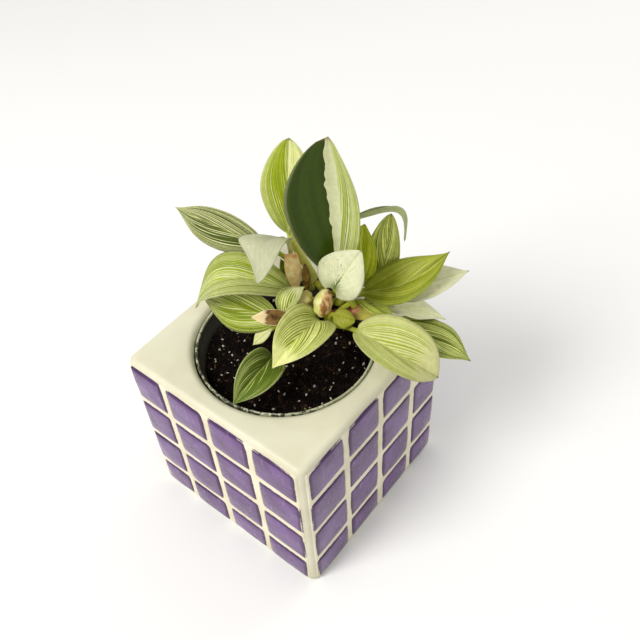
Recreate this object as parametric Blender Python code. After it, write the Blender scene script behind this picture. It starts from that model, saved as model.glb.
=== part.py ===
"""Potted philodendron: a variegated houseplant in a round nursery pot inside a square mosaic planter.

Metres, +Z up. The origin is the middle of the planter's underside. The planter's faces look along X and Y.
"""

from math import cos, log, pi, radians, sin

import bmesh
import bpy
import numpy as np
from mathutils import Vector

# Every length below is in millimetres and is turned into metres when a mesh is made.
MM = 0.001

# Planter body: a cast cube with a round opening.
SIDE = 83.0
HEIGHT = 80.0
CORNER_RADIUS = 3.0
CORNER_STEPS = 5
TOP_ROUND = 2.0
FOOT_ROUND = 0.8
OPENING_RADIUS = 34.0
LIP_ROUND = 2.5
CAVITY_FLOOR = 13.0
ROUND_SIDES = 56

# Mosaic: four rows and four columns of domed tiles on each face, with grout between them.
COLUMNS_FROM_FRONT_CORNER = ((2.2, 21.8), (23.8, 42.4), (44.4, 63.0), (65.0, 81.0))
COLUMNS_EVEN = ((2.2, 20.35), (22.35, 40.5), (42.5, 60.65), (62.65, 80.8))
ROWS_FROM_FLOOR = ((1.6, 15.9), (17.9, 36.6), (38.6, 57.4), (59.4, 77.3))
POCKET_DEPTH = 1.7
BACKING = 0.5
TILE_PROUD = 1.2
TILE_SHOULDER = 1.6
TILE_EDGE = 0.2
GAP = 0.3

# Nursery pot: a thin tapered cup with a turned-out rim.
POT_RIM_RADIUS = 33.3
POT_RIM_TOP = 78.4
POT_RIM_BAND = 5.0
POT_SHOULDER_RADIUS = 32.2
POT_FOOT_RADIUS = 24.0
POT_WALL = 0.9
POT_SIDES = 44

# Potting mix, and where the plant comes out of it.
SOIL_TOP = 71.0
SOIL_BUMP = 0.9
SOIL_RINGS = (5.0, 11.0, 18.0, 25.0)
STEM_FOOT = (-1.0, 12.0)
STEM_TOP = (4.5, 12.0, 90.5)

# Leaves.
BLADE_HALF_THICKNESS = 0.36
BLADE_STATIONS = (0.015, 0.06, 0.14, 0.26, 0.4, 0.55, 0.7, 0.84, 0.94)
STALK_RINGS = 4
ACROSS = 6


def clear_scene():
    for thing in list(bpy.data.objects):
        bpy.data.objects.remove(thing, do_unlink=True)


def material(name, colour, roughness, metallic=0.0):
    made = bpy.data.materials.new(name)
    made.use_nodes = True
    shader = made.node_tree.nodes["Principled BSDF"]
    shader.inputs["Base Color"].default_value = (*colour, 1.0)
    shader.inputs["Roughness"].default_value = roughness
    shader.inputs["Metallic"].default_value = metallic
    return made


def mesh_object(name, points, faces, made_of, smooth=True):
    mesh = bpy.data.meshes.new(name)
    mesh.from_pydata([Vector(p) * MM for p in points], [], faces)
    work = bmesh.new()
    work.from_mesh(mesh)
    bmesh.ops.recalc_face_normals(work, faces=work.faces)
    work.to_mesh(mesh)
    work.free()
    mesh.polygons.foreach_set("use_smooth", [smooth] * len(mesh.polygons))
    mesh.materials.append(made_of)
    made = bpy.data.objects.new(name, mesh)
    bpy.context.scene.collection.objects.link(made)
    return made


def loft(rings, end_point=None):
    """Joins closed rings of equal length. The near end is flat; the far end is flat or a point."""
    count = len(rings[0])
    points = [tuple(p) for ring in rings for p in ring]
    faces = []
    for r in range(len(rings) - 1):
        for i in range(count):
            j = (i + 1) % count
            faces.append((r * count + i, r * count + j, (r + 1) * count + j, (r + 1) * count + i))
    last = (len(rings) - 1) * count
    faces.append(tuple(range(count - 1, -1, -1)))
    if end_point is None:
        faces.append(tuple(last + i for i in range(count)))
    else:
        points.append(tuple(end_point))
        tip = len(points) - 1
        faces.extend((last + i, last + (i + 1) % count, tip) for i in range(count))
    return points, faces


def turned(profile, sides):
    """A solid of revolution about Z. The profile runs from the axis out and back to the axis."""
    rings = [
        [(r * cos(2 * pi * k / sides), r * sin(2 * pi * k / sides), z) for k in range(sides)]
        for r, z in profile[1:-1]
    ]
    points = [p for ring in rings for p in ring]
    faces = []
    for r in range(len(rings) - 1):
        for i in range(sides):
            j = (i + 1) % sides
            faces.append((r * sides + i, r * sides + j, (r + 1) * sides + j, (r + 1) * sides + i))
    ends = ((0, profile[0][1], True), ((len(rings) - 1) * sides, profile[-1][1], False))
    for start, end_z, first in ends:
        points.append((0.0, 0.0, end_z))
        hub = len(points) - 1
        for i in range(sides):
            pair = (start + i, start + (i + 1) % sides)
            faces.append((*pair, hub) if not first else (pair[1], pair[0], hub))
    return points, faces


def rounded_square(half, radius, z):
    ring = []
    for corner in range(4):
        turn = corner * pi / 2
        for step in range(CORNER_STEPS + 1):
            angle = turn + (pi / 2) * step / CORNER_STEPS
            cx = (half - radius) * (1 if corner in (0, 3) else -1)
            cy = (half - radius) * (1 if corner in (0, 1) else -1)
            ring.append((cx + radius * cos(angle), cy + radius * sin(angle), z))
    return ring


def cut(target, cutters):
    for cutter in cutters:
        step = target.modifiers.new("cut", "BOOLEAN")
        step.operation = "DIFFERENCE"
        step.solver = "EXACT"
        step.object = cutter
    bpy.context.view_layer.update()
    graph = bpy.context.evaluated_depsgraph_get()
    result = bpy.data.meshes.new_from_object(target.evaluated_get(graph))
    target.modifiers.clear()
    target.data = result
    for cutter in cutters:
        bpy.data.objects.remove(cutter, do_unlink=True)


def on_face(face, along, up, out):
    """A point on a planter face: along runs from the face's end, up from the floor, out from the face."""
    half = SIDE / 2
    return {
        "front": (half - along, -half - out, up),
        "right": (half + out, -half + along, up),
        "back": (half - along, half + out, up),
        "left": (-half - out, -half + along, up),
    }[face]


def columns_of(face):
    return COLUMNS_FROM_FRONT_CORNER if face in ("front", "right") else COLUMNS_EVEN


def block(face, along, up, out):
    points = [on_face(face, a, u, o) for o in out for u in up for a in along]
    quads = [(0, 1, 3, 2), (4, 6, 7, 5), (0, 4, 5, 1), (2, 3, 7, 6), (0, 2, 6, 4), (1, 5, 7, 3)]
    return points, quads


def planter_body(faces_named, cream):
    half = SIDE / 2
    rings = [
        rounded_square(half - FOOT_ROUND, CORNER_RADIUS, 0.0),
        rounded_square(half, CORNER_RADIUS, FOOT_ROUND),
        rounded_square(half, CORNER_RADIUS, HEIGHT - TOP_ROUND),
        rounded_square(half - 0.3 * TOP_ROUND, CORNER_RADIUS, HEIGHT - 0.3 * TOP_ROUND),
        rounded_square(half - TOP_ROUND, CORNER_RADIUS, HEIGHT),
    ]
    body = mesh_object("planter_body", *loft(rings), cream, smooth=False)
    r = OPENING_RADIUS
    lip = [
        (r + LIP_ROUND * (1 - cos(a)), HEIGHT - LIP_ROUND * (1 - sin(a)))
        for a in (0.0, pi / 6, pi / 3, pi / 2)
    ]
    profile = [(0, CAVITY_FLOOR), (r - 1.5, CAVITY_FLOOR), (r, CAVITY_FLOOR + 1.5), *lip]
    profile += [(r + LIP_ROUND, HEIGHT + 3), (0, HEIGHT + 3)]
    cutters = [mesh_object("cavity", *turned(profile, ROUND_SIDES), cream)]
    for face in faces_named:
        columns = columns_of(face)
        along = (columns[0][0] - GAP, columns[-1][1] + GAP)
        up = (ROWS_FROM_FLOOR[0][0] - GAP, ROWS_FROM_FLOOR[-1][1] + GAP)
        cutters.append(mesh_object("pocket", *block(face, along, up, (-POCKET_DEPTH, 5.0)), cream))
    cut(body, cutters)


def tile_sheet(face, purple):
    """Sixteen domed tiles standing on the thin backing that holds them in one sheet."""
    edges_a = sorted({v for pair in columns_of(face) for v in pair})
    edges_u = sorted({v for pair in ROWS_FROM_FLOOR for v in pair})
    low = -POCKET_DEPTH + GAP
    floor = low + BACKING
    points, faces, index = [], [], {}

    def at(a, u, out):
        key = (round(a, 4), round(u, 4), round(out, 4))
        if key not in index:
            index[key] = len(points)
            points.append(on_face(face, a, u, out))
        return index[key]

    def ring(a0, a1, u0, u1, out):
        return [at(a0, u0, out), at(a1, u0, out), at(a1, u1, out), at(a0, u1, out)]

    for i in range(len(edges_a) - 1):
        for j in range(len(edges_u) - 1):
            a0, a1, u0, u1 = edges_a[i], edges_a[i + 1], edges_u[j], edges_u[j + 1]
            faces.append(tuple(reversed(ring(a0, a1, u0, u1, low))))
            if i % 2 or j % 2:
                faces.append(tuple(ring(a0, a1, u0, u1, floor)))
                continue
            foot = ring(a0, a1, u0, u1, floor)
            rim = ring(a0, a1, u0, u1, TILE_EDGE)
            inset = 0.35 * TILE_SHOULDER
            bend = ring(a0 + inset, a1 - inset, u0 + inset, u1 - inset, 0.75 * TILE_PROUD)
            s = TILE_SHOULDER * 1.8
            crown = ring(a0 + s, a1 - s, u0 + s, u1 - s, TILE_PROUD)
            for lower, upper in ((foot, rim), (rim, bend), (bend, crown)):
                for k in range(4):
                    m = (k + 1) % 4
                    faces.append((lower[k], lower[m], upper[m], upper[k]))
            faces.append(tuple(crown))
    for i in range(len(edges_a) - 1):
        a0, a1 = edges_a[i], edges_a[i + 1]
        for u in (edges_u[0], edges_u[-1]):
            faces.append((at(a0, u, low), at(a1, u, low), at(a1, u, floor), at(a0, u, floor)))
    for j in range(len(edges_u) - 1):
        u0, u1 = edges_u[j], edges_u[j + 1]
        for a in (edges_a[0], edges_a[-1]):
            faces.append((at(a, u0, low), at(a, u1, low), at(a, u1, floor), at(a, u0, floor)))
    mesh_object("tiles_" + face, points, faces, purple, smooth=False)


def grout_lattice(face, cream):
    """Three upright and three level bars of grout in one piece, flush with the face, between the tiles."""
    columns = columns_of(face)
    bars_a = [(columns[k][1] + GAP, columns[k + 1][0] - GAP) for k in range(3)]
    bars_u = [(ROWS_FROM_FLOOR[k][1] + GAP, ROWS_FROM_FLOOR[k + 1][0] - GAP) for k in range(3)]
    edges_a = [columns[0][0]] + [v for bar in bars_a for v in bar] + [columns[-1][1]]
    edges_u = [ROWS_FROM_FLOOR[0][0]] + [v for bar in bars_u for v in bar] + [ROWS_FROM_FLOOR[-1][1]]
    low, high = -POCKET_DEPTH + 2 * GAP + BACKING, 0.0
    points, faces, index = [], [], {}

    def at(a, u, out):
        key = (a, u, out)
        if key not in index:
            index[key] = len(points)
            points.append(on_face(face, a, u, out))
        return index[key]

    def solid(i, j):
        return 0 <= i < 7 and 0 <= j < 7 and bool(i % 2 or j % 2)

    for i in range(7):
        for j in range(7):
            if not solid(i, j):
                continue
            a0, a1, u0, u1 = edges_a[i], edges_a[i + 1], edges_u[j], edges_u[j + 1]
            for out in (low, high):
                faces.append((at(a0, u0, out), at(a1, u0, out), at(a1, u1, out), at(a0, u1, out)))
            for other, (p, q) in (
                ((i - 1, j), ((a0, u0), (a0, u1))),
                ((i + 1, j), ((a1, u0), (a1, u1))),
                ((i, j - 1), ((a0, u0), (a1, u0))),
                ((i, j + 1), ((a0, u1), (a1, u1))),
            ):
                if not solid(*other):
                    faces.append((at(*p, low), at(*q, low), at(*q, high), at(*p, high)))
    mesh_object("grout_" + face, points, faces, cream, smooth=False)


def nursery_pot(plastic):
    floor = CAVITY_FLOOR + GAP
    rim, shoulder, wall = POT_RIM_RADIUS, POT_SHOULDER_RADIUS, POT_WALL
    top, band = POT_RIM_TOP, POT_RIM_BAND
    profile = [
        (0, floor),
        (POT_FOOT_RADIUS, floor),
        (shoulder, top - band),
        (rim, top - band + 0.6),
        (rim, top - 0.4),
        (rim - 0.4, top),
        (rim - wall, top),
        (rim - wall, top - band + 1.6),
        (shoulder - wall, top - band + 0.4),
        (POT_FOOT_RADIUS - wall, floor + wall),
        (0, floor + wall),
    ]
    mesh_object("nursery_pot", *turned(profile, POT_SIDES), plastic)


def soil_height(x, y):
    """The top of the potting mix: low waves that flatten out round the stem."""
    waves = sin(0.31 * x + 0.7) * cos(0.27 * y - 0.4) + 0.5 * sin(0.53 * x - 0.41 * y + 1.9)
    near = min(1.0, max(0.0, (np.hypot(x - STEM_FOOT[0], y - STEM_FOOT[1]) - 9.0) / 5.0))
    return SOIL_TOP + SOIL_BUMP * waves * near


def potting_mix(earth):
    floor = CAVITY_FLOOR + GAP + POT_WALL + GAP
    rise = POT_RIM_TOP - POT_RIM_BAND - 1.0 - floor
    slope = (POT_SHOULDER_RADIUS - POT_FOOT_RADIUS) / rise
    foot = POT_FOOT_RADIUS - POT_WALL - 1.2
    edge = foot + slope * (SOIL_TOP - floor) - 0.3
    rings = []
    for radius in (foot, edge, *reversed(SOIL_RINGS)):
        ring = []
        for k in range(POT_SIDES):
            x = radius * cos(2 * pi * k / POT_SIDES)
            y = radius * sin(2 * pi * k / POT_SIDES)
            ring.append((x, y, soil_height(x, y) if rings else floor))
        rings.append(ring)
    mesh_object("potting_mix", *loft(rings, end_point=(0.0, 0.0, soil_height(0.0, 0.0))), earth)


def unit(v):
    return v / np.linalg.norm(v)


def bezier(p0, p1, p2, p3, t):
    return p0 * (1 - t) ** 3 + 3 * p1 * t * (1 - t) ** 2 + 3 * p2 * t * t * (1 - t) + p3 * t**3


class Blade:
    """A leaf blade laid from its base to its tip, in millimetres.

    faces is the way the upper side looks. left and right are the half widths seen from that side with the
    tip ahead. fold lifts both halves out of flat, rise bows the midrib towards the upper side and sway
    bows it to the right. widest and peak are shares of the length. lobe is how far the edges reach back
    beyond the base, point how slender the tip is.
    """

    def __init__(self, base, tip, faces, left, right, fold=12, rise=2, sway=0,
                 widest=0.42, peak=0.5, point=0.62, lobe=1.2):
        self.base, self.tip = np.array(base, float), np.array(tip, float)
        self.along = unit(self.tip - self.base)
        up = np.array(faces, float)
        self.up = unit(up - self.along * (up @ self.along))
        self.side = np.cross(self.along, self.up)
        self.left, self.right, self.fold = left, right, radians(fold)
        self.rise, self.sway, self.lobe = rise, sway, lobe
        self.bulge = log(0.5) / log(widest)
        self.hump = log(0.5) / log(peak)
        self.point = point

    def midrib(self, s):
        bow = self.rise * sin(pi * s**self.hump)
        return self.base + (self.tip - self.base) * s + self.up * bow + self.side * self.sway * sin(pi * s)

    def axes(self, s):
        ahead = unit(self.midrib(min(s + 1e-3, 1.0)) - self.midrib(max(s - 1e-3, 0.0)))
        up = unit(self.up - ahead * (self.up @ ahead))
        return ahead, up, np.cross(ahead, up)

    def share(self, s):
        return max(0.0, sin(pi * s**self.bulge)) ** (0.62 + self.point * s * s)

    def surface(self, s, t, least=0.0):
        """The middle of the blade at share s of the length and t from -1 (left) to 1 (right)."""
        ahead, up, side = self.axes(s)
        half = self.right if t > 0 else self.left
        reach = abs(t) * max(self.share(s) * half, least)
        out = cos(self.fold) * reach * (1 if t > 0 else -1)
        back = self.lobe * abs(t) ** 1.5 * (1 - s) ** 3
        return self.midrib(s) + side * out + up * sin(self.fold) * reach - ahead * back


def leaf(name, made_of, root, stalk=1.0, lift=0.3, lead=0.35, **shape):
    """One leaf in one piece: a round stalk that rises from root by lift and opens into the blade.

    lead is the share of its length over which it has turned to the blade's own direction.
    """
    blade = Blade(**shape)
    root = np.array(root, float)
    ahead, up, side = blade.axes(0.0)
    reach = np.linalg.norm(blade.base - root)
    bend = root + np.array((0, 0, lift * reach))
    meet = blade.base - ahead * lead * reach
    rings = []
    for k in range(STALK_RINGS):
        t = k / STALK_RINGS
        centre = bezier(root, bend, meet, blade.base, t)
        tangent = unit(bezier(root, bend, meet, blade.base, t + 0.02) - centre)
        across = unit(side - tangent * (side @ tangent))
        above = np.cross(across, tangent)
        radius = stalk * (1.15 - 0.35 * t)
        turns = [pi - pi * j / ACROSS for j in range(2 * ACROSS)]
        rings.append([centre + radius * (across * cos(a) + above * sin(a)) for a in turns])
    for s in BLADE_STATIONS:
        _, up, _ = blade.axes(s)
        ring = []
        for j in range(2 * ACROSS):
            t = -1 + 2 * j / ACROSS if j <= ACROSS else 3 - 2 * j / ACROSS
            thick = BLADE_HALF_THICKNESS
            if abs(t) < 0.01:
                thick = max(thick, 0.8 * stalk * (1 - 2 * s))
            offset = thick * (1 - t**4) * (1 if j <= ACROSS else -1)
            ring.append(blade.surface(s, t, 0.8 * stalk) + up * offset)
        rings.append(ring)
    mesh_object(name, *loft(rings, end_point=blade.tip), made_of)


def tube(name, made_of, path, radii, sides=10):
    """A solid rod through the given points, closing on the last of them."""
    path = [np.array(p, float) for p in path]
    rings = []
    for k in range(len(path) - 1):
        ahead = unit(path[min(k + 1, len(path) - 1)] - path[max(k - 1, 0)])
        hint = np.array((1.0, 0, 0)) if abs(ahead[2]) > 0.7 else np.array((0, 0, 1.0))
        across = unit(np.cross(ahead, hint))
        above = np.cross(across, ahead)
        turns = [2 * pi * j / sides for j in range(sides)]
        rings.append([path[k] + radii[k] * (across * cos(a) + above * sin(a)) for a in turns])
    mesh_object(name, *loft(rings, end_point=path[-1]), made_of)


def plant():
    green = material("leaf_green", (0.10, 0.17, 0.03), 0.4)
    cream = material("leaf_cream", (0.72, 0.76, 0.50), 0.45)
    dark = material("leaf_dark", (0.03, 0.07, 0.02), 0.3)
    tan = material("dry_sheath", (0.35, 0.22, 0.11), 0.7)
    stalk = material("stalk", (0.45, 0.50, 0.16), 0.5)
    foot_z = SOIL_TOP + GAP
    tube(
        "stem",
        stalk,
        [(*STEM_FOOT, foot_z), (*STEM_FOOT, foot_z + 3), (1, 12, 80), (3, 12, 86), STEM_TOP, (5.5, 12, 93)],
        [4.2, 3.8, 3.6, 3.4, 3.0],
    )
    leaf(
        "leaf_tall_front", dark, root=(15, 16, 100), base=(16, 13, 112), tip=(14, 14, 165),
        faces=(0.2, -1, 0.1), left=17, right=11, fold=24, rise=-3, widest=0.48, point=0, stalk=1.6,
    )
    leaf(
        "leaf_tall_back", green, root=(3, 15, 99), base=(-6, 15, 118), tip=(-5, 18, 155),
        faces=(0.4, -1, 0.1), left=9, right=11, fold=12, rise=2, widest=0.5, point=0, stalk=1.6,
    )
    leaf(
        "leaf_left_striped", green, root=(0, 17, 92), base=(-19, 13, 107), tip=(-51, 3, 116),
        faces=(0.3, -0.8, 0.5), left=8, right=7, fold=14, rise=1, widest=0.46,
    )
    leaf(
        "leaf_centre_cream", cream, root=(21, 15, 97), base=(17, 10, 108.5), tip=(27, 12, 129),
        faces=(0.25, -0.8, 0.45), left=9, right=8.3, fold=8, rise=1.5, widest=0.4, point=0.25, lobe=6,
    )
    leaf(
        "leaf_folded_cream", cream, root=(-3.6, 12, 96.5), lead=0.1, base=(-4.4, 11, 117.9),
        tip=(-7, -3, 107), faces=(-0.4, -0.5, 0.8), left=14, right=12, fold=6, rise=9, sway=-2,
        peak=0.4, stalk=0.9,
    )
    leaf(
        "leaf_left_large", green, root=(-2, 11, 91), base=(-3, 8, 97), tip=(-33, -12, 86),
        faces=(-0.2, -0.3, 0.9), left=9, right=11, fold=12, rise=13, widest=0.44,
    )
    leaf(
        "leaf_left_lower", green, root=(0, 7, 85), base=(-4, 0, 89), tip=(-35, -7, 88),
        faces=(0.2, -0.9, 0.5), left=9, right=9, fold=10, rise=1,
    )
    leaf(
        "leaf_small_upright", green, root=(3, 5, 88), base=(1, 0, 94), tip=(6, 7, 105),
        faces=(0.3, -0.5, 0.8), left=6, right=2, fold=4, rise=1,
    )
    leaf(
        "leaf_front_centre", green, root=(6, 7, 86), base=(11, 6, 91), tip=(11, -19, 89),
        faces=(0.3, -0.1, 0.95), left=12, right=10, fold=38, rise=4, widest=0.38, lobe=2,
    )
    leaf(
        "leaf_over_soil", green, root=(-1, 7, 75), base=(3, -11, 81), tip=(5, -34, 80),
        faces=(0.4, -0.1, 0.9), left=9, right=8, fold=36, rise=4, lobe=1.5,
    )
    leaf(
        "leaf_right_pale", cream, root=(9, 9, 84), lift=0.1, base=(27, 10, 92), tip=(56, 16, 82),
        faces=(0.4, -0.3, 0.85), left=13, right=11, fold=40, rise=5, sway=1, widest=0.48, point=0.3, lobe=2,
    )
    leaf(
        "leaf_right_dark", green, root=(8, 15, 82), base=(33, 21, 90), tip=(63, 25, 87),
        faces=(0.1, 0, 1), left=8, right=8, fold=8, rise=1, sway=-1, widest=0.47,
    )
    leaf(
        "leaf_right_green", green, root=(14, 15, 95), base=(22, 21, 100), tip=(43, 40, 116),
        faces=(-0.1, -0.6, 0.8), left=9, right=7, fold=9, rise=1, sway=4, stalk=1.7,
    )
    leaf(
        "leaf_right_cream_far", cream, root=(7, 16, 91), base=(28, 28, 97), tip=(48, 46, 105),
        faces=(-0.2, -0.3, 0.9), left=8, right=8, fold=13, rise=2, sway=2,
    )
    leaf(
        "leaf_right_cream_low", cream, root=(6, 16, 86), base=(29, 27, 91), tip=(47, 34, 90),
        faces=(-0.2, 0.2, 0.95), left=6, right=7, fold=9, rise=1,
    )
    leaf(
        "leaf_narrow_olive", green, root=(10, 18.4, 98), base=(16, 25.2, 97), tip=(20, 23.2, 128.6),
        faces=(0.3, -0.9, 0.1), left=7, right=6, fold=8, rise=1, widest=0.5, point=0.2, lobe=1,
    )
    leaf(
        "leaf_upright_striped", green, root=(5, 17, 94), base=(21, 32, 97), tip=(25, 31, 130),
        faces=(0.5, -0.9, 0), left=7, right=5, fold=8, rise=1, point=0,
    )
    leaf(
        "leaf_small_right", green, root=(15, 12, 90), base=(23, 18, 98), tip=(35, 19, 97),
        faces=(0.1, 0, 1), left=4, right=4, fold=11, rise=1,
    )
    leaf(
        "leaf_arching", green, root=(4.6, 19.8, 97), base=(17, 20, 132), tip=(30.5, 31, 120.5),
        faces=(0, 0.1, 1), left=1.8, right=1.8, fold=84, rise=9, peak=0.58, point=1.2, lobe=0,
    )
    leaf(
        "leaf_dark_sliver", dark, root=(-5.2, 14.8, 91.5), base=(-6.4, 12.5, 97.4), tip=(-9.8, 12.5, 105.4),
        faces=(0.4, -0.6, 0.6), left=2, right=2, fold=6, rise=0, lobe=0,
    )
    leaf(
        "bract_green", green, root=(14.5, 9.5, 90), base=(17, 9, 95.6), tip=(24, 11.5, 94.4),
        faces=(0.4, -0.5, 0.75), left=3, right=4, fold=4, rise=1, point=0, lobe=0.5,
    )
    leaf(
        "bract_left", cream, root=(-3, 8, 78), base=(-4, -3, 84.6), tip=(-8, -9, 79),
        faces=(-0.1, -0.8, 0.4), left=2, right=3, fold=10, rise=0, lobe=0.3,
    )
    leaf(
        "sheath_dry", tan, root=(5, 1, 88), base=(3, -0.4, 93.2), tip=(-7, -9, 95),
        faces=(0.2, -0.6, 0.75), left=3.5, right=3.5, fold=34, rise=1, widest=0.36, lobe=0,
    )
    leaf(
        "sheath_pink", tan, root=(12, 14, 88), base=(18, 16, 92), tip=(27, 20, 92),
        faces=(0.2, -0.3, 0.9), left=4, right=4, fold=20, rise=1, lobe=0,
    )
    leaf(
        "sheath_cream", cream, root=(0.6, 10.2, 93.5), stalk=0.8, base=(0.2, 8.4, 96.4),
        tip=(-2.2, 10, 113.6), faces=(0.45, -0.6, 0.5), left=3.3, right=3.3, fold=-24, rise=0.5,
        widest=0.6, point=-0.45, lobe=0,
    )
    leaf(
        "sheath_brown", tan, root=(3.4, 11.2, 94.2), stalk=0.7, base=(3.2, 10.8, 98), tip=(3, 11.2, 110.8),
        faces=(0.45, -0.6, 0.5), left=1.5, right=1.7, fold=-24, rise=0.3, widest=0.45, point=0, lobe=0,
    )
    leaf(
        "bud_scale", tan, root=(9, 13.6, 96), stalk=0.7, base=(8.6, 12.6, 99), tip=(9.6, 12.4, 106.2),
        faces=(0.45, -0.6, 0.5), left=3.2, right=2.8, fold=-24, rise=0.6, widest=0.5, point=-0.3, lobe=0,
    )
    tube(
        "crown_swelling",
        stalk,
        [(3.2, 6, 93.5), (3.9, 7.3, 96.5), (5.5, 8.6, 98.6), (6.6, 9.5, 99.6)],
        [1.6, 2.7, 2.2],
    )
    tube(
        "shoot_sheath",
        cream,
        [(11.4, 8.9, 92.4), (11.3, 9.2, 95.2), (11.5, 9.8, 98.4), (12.1, 10.8, 101.6), (12.6, 11.4, 103.4)],
        [1.8, 3.2, 3.4, 2.3],
        sides=12,
    )


def main():
    clear_scene()
    cream = material("cast_cream", (0.82, 0.80, 0.70), 0.55)
    purple = material("tile_purple", (0.28, 0.16, 0.50), 0.15)
    names = ("front", "right", "back", "left")
    planter_body(names, cream)
    for face in names:
        tile_sheet(face, purple)
        grout_lattice(face, cream)
    nursery_pot(material("nursery_plastic", (0.42, 0.45, 0.36), 0.6))
    potting_mix(material("potting_mix", (0.03, 0.02, 0.015), 0.95))
    plant()


main()
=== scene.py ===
# %% [markdown]
# # A potted philodendron, step by step
# The object is a young variegated philodendron. It grows in a round nursery pot, and that pot
# drops into a square planter whose four faces carry domed purple mosaic tiles.
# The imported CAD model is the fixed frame. Each CAD piece is replaced here by a finer one that
# sits in the same place. All sizes below are in millimetres unless a line says otherwise.

# %% Load the frame
from math import cos, log, pi, radians, sin

import bmesh
import bpy
import numpy as np
from mathutils import Matrix, Vector, noise


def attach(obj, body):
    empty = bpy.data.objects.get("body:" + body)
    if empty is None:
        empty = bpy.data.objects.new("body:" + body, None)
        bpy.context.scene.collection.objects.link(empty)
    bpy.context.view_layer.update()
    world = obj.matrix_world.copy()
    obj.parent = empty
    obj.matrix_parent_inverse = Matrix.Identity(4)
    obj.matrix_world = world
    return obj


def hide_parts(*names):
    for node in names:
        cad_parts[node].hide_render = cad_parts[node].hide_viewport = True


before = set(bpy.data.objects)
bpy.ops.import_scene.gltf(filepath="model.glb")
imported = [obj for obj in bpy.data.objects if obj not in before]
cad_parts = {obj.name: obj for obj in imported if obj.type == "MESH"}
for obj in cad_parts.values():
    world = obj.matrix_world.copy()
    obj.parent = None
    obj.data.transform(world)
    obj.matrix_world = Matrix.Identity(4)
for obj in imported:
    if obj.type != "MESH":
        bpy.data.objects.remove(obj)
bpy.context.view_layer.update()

MM = 0.001

# %% [markdown]
# ## Camera
# The planter is a box, so its edges in the photograph fix the camera: it stands in front of one
# corner and looks down on it at about 48 degrees, and it is tilted a few degrees. The lens is
# given as a focal length for Blender's 36 mm sensor.

# %% Camera
CAMERA_PLACE = Vector((134.27, -131.53, 293.24)) * MM
CAMERA_AZIMUTH = radians(41.50)
CAMERA_ELEVATION = radians(47.52)
CAMERA_ROLL = radians(-4.36)
CAMERA_LENS = 43.371


def camera_turn(azimuth, elevation, roll):
    """The camera's axes as the columns of a matrix: right, up, and back towards the viewer."""
    level = Vector((cos(azimuth), sin(azimuth), 0.0))
    back = Vector((sin(azimuth) * cos(elevation), -cos(azimuth) * cos(elevation), sin(elevation)))
    above = back.cross(level)
    right = level * cos(roll) + above * sin(roll)
    up = above * cos(roll) - level * sin(roll)
    return Matrix((right, up, back)).transposed()


lens = bpy.data.cameras.new("camera")
lens.lens = CAMERA_LENS
lens.sensor_width = 36.0
lens.clip_start = 0.01
camera = bpy.data.objects.new("camera", lens)
turn = camera_turn(CAMERA_AZIMUTH, CAMERA_ELEVATION, CAMERA_ROLL)
camera.matrix_world = Matrix.Translation(CAMERA_PLACE) @ turn.to_4x4()
bpy.context.scene.collection.objects.link(camera)
bpy.context.scene.camera = camera
print("camera at", [round(v, 3) for v in CAMERA_PLACE])

# %% [markdown]
# ## Light
# The photograph is bright and even, with a white ground that the lower tiles mirror. A pale world
# gives the fill, one wide lamp above and to the left gives direction, and a second weak one keeps
# the right side from going flat. The floor is a plain pale sheet.

# %% Light and floor
WORLD_COLOUR = (1.0, 0.99, 0.97)
WORLD_STRENGTH = 0.62
FLOOR_SIZE = 2.4


def srgb(r, g, b):
    """A colour picked as it looks on a screen, 0 to 255, turned into the linear one that nodes use."""
    def one(v):
        v /= 255.0
        return v / 12.92 if v <= 0.04045 else ((v + 0.055) / 1.055) ** 2.4
    return (one(r), one(g), one(b), 1.0)


def area_lamp(name, place, target, size, watts, colour=(1.0, 1.0, 1.0)):
    lamp = bpy.data.lights.new(name, "AREA")
    lamp.shape = "DISK"
    lamp.size = size
    lamp.energy = watts
    lamp.color = colour
    holder = bpy.data.objects.new(name, lamp)
    holder.location = Vector(place)
    aim = Vector(target) - Vector(place)
    holder.rotation_euler = aim.to_track_quat("-Z", "Y").to_euler()
    bpy.context.scene.collection.objects.link(holder)
    return holder


world = bpy.data.worlds.new("studio")
world.use_nodes = True
sky = world.node_tree.nodes["Background"]
sky.inputs["Color"].default_value = (*WORLD_COLOUR, 1.0)
sky.inputs["Strength"].default_value = WORLD_STRENGTH
bpy.context.scene.world = world
bpy.context.scene.view_settings.view_transform = "Standard"

area_lamp("key_lamp", (-0.18, -0.66, 0.8), (0, 0, 0.08), 0.45, 8.0, (1.0, 0.985, 0.96))
area_lamp("back_lamp", (0.1, 0.7, 0.7), (0, 0, 0.08), 0.5, 2.0)

# %% [markdown]
# ## Helpers for meshes
# Every piece is made from points in millimetres and faces. One helper scales the points to
# metres, recalculates the normals outwards and shades the piece smooth. A second one hands a
# finished piece to the frame: what it rides on and which CAD pieces it stands for.

# %% Mesh helpers


def piece_from(name, points, faces, finish, smooth=True):
    mesh = bpy.data.meshes.new(name)
    mesh.from_pydata([Vector(p) * MM for p in points], [], faces)
    work = bmesh.new()
    work.from_mesh(mesh)
    bmesh.ops.recalc_face_normals(work, faces=work.faces)
    work.to_mesh(mesh)
    work.free()
    mesh.polygons.foreach_set("use_smooth", [smooth] * len(mesh.polygons))
    mesh.materials.append(finish)
    made = bpy.data.objects.new(name, mesh)
    bpy.context.scene.collection.objects.link(made)
    return made


def settle(piece, slot, *nodes):
    """Lets a finished piece ride on the object and hides the CAD nodes it stands for."""
    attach(piece, "root")
    if nodes:
        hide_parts(*nodes)
    print(f"{piece.name}: {len(piece.data.polygons)} faces for {', '.join(nodes) or 'detail'}")
    return piece


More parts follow.
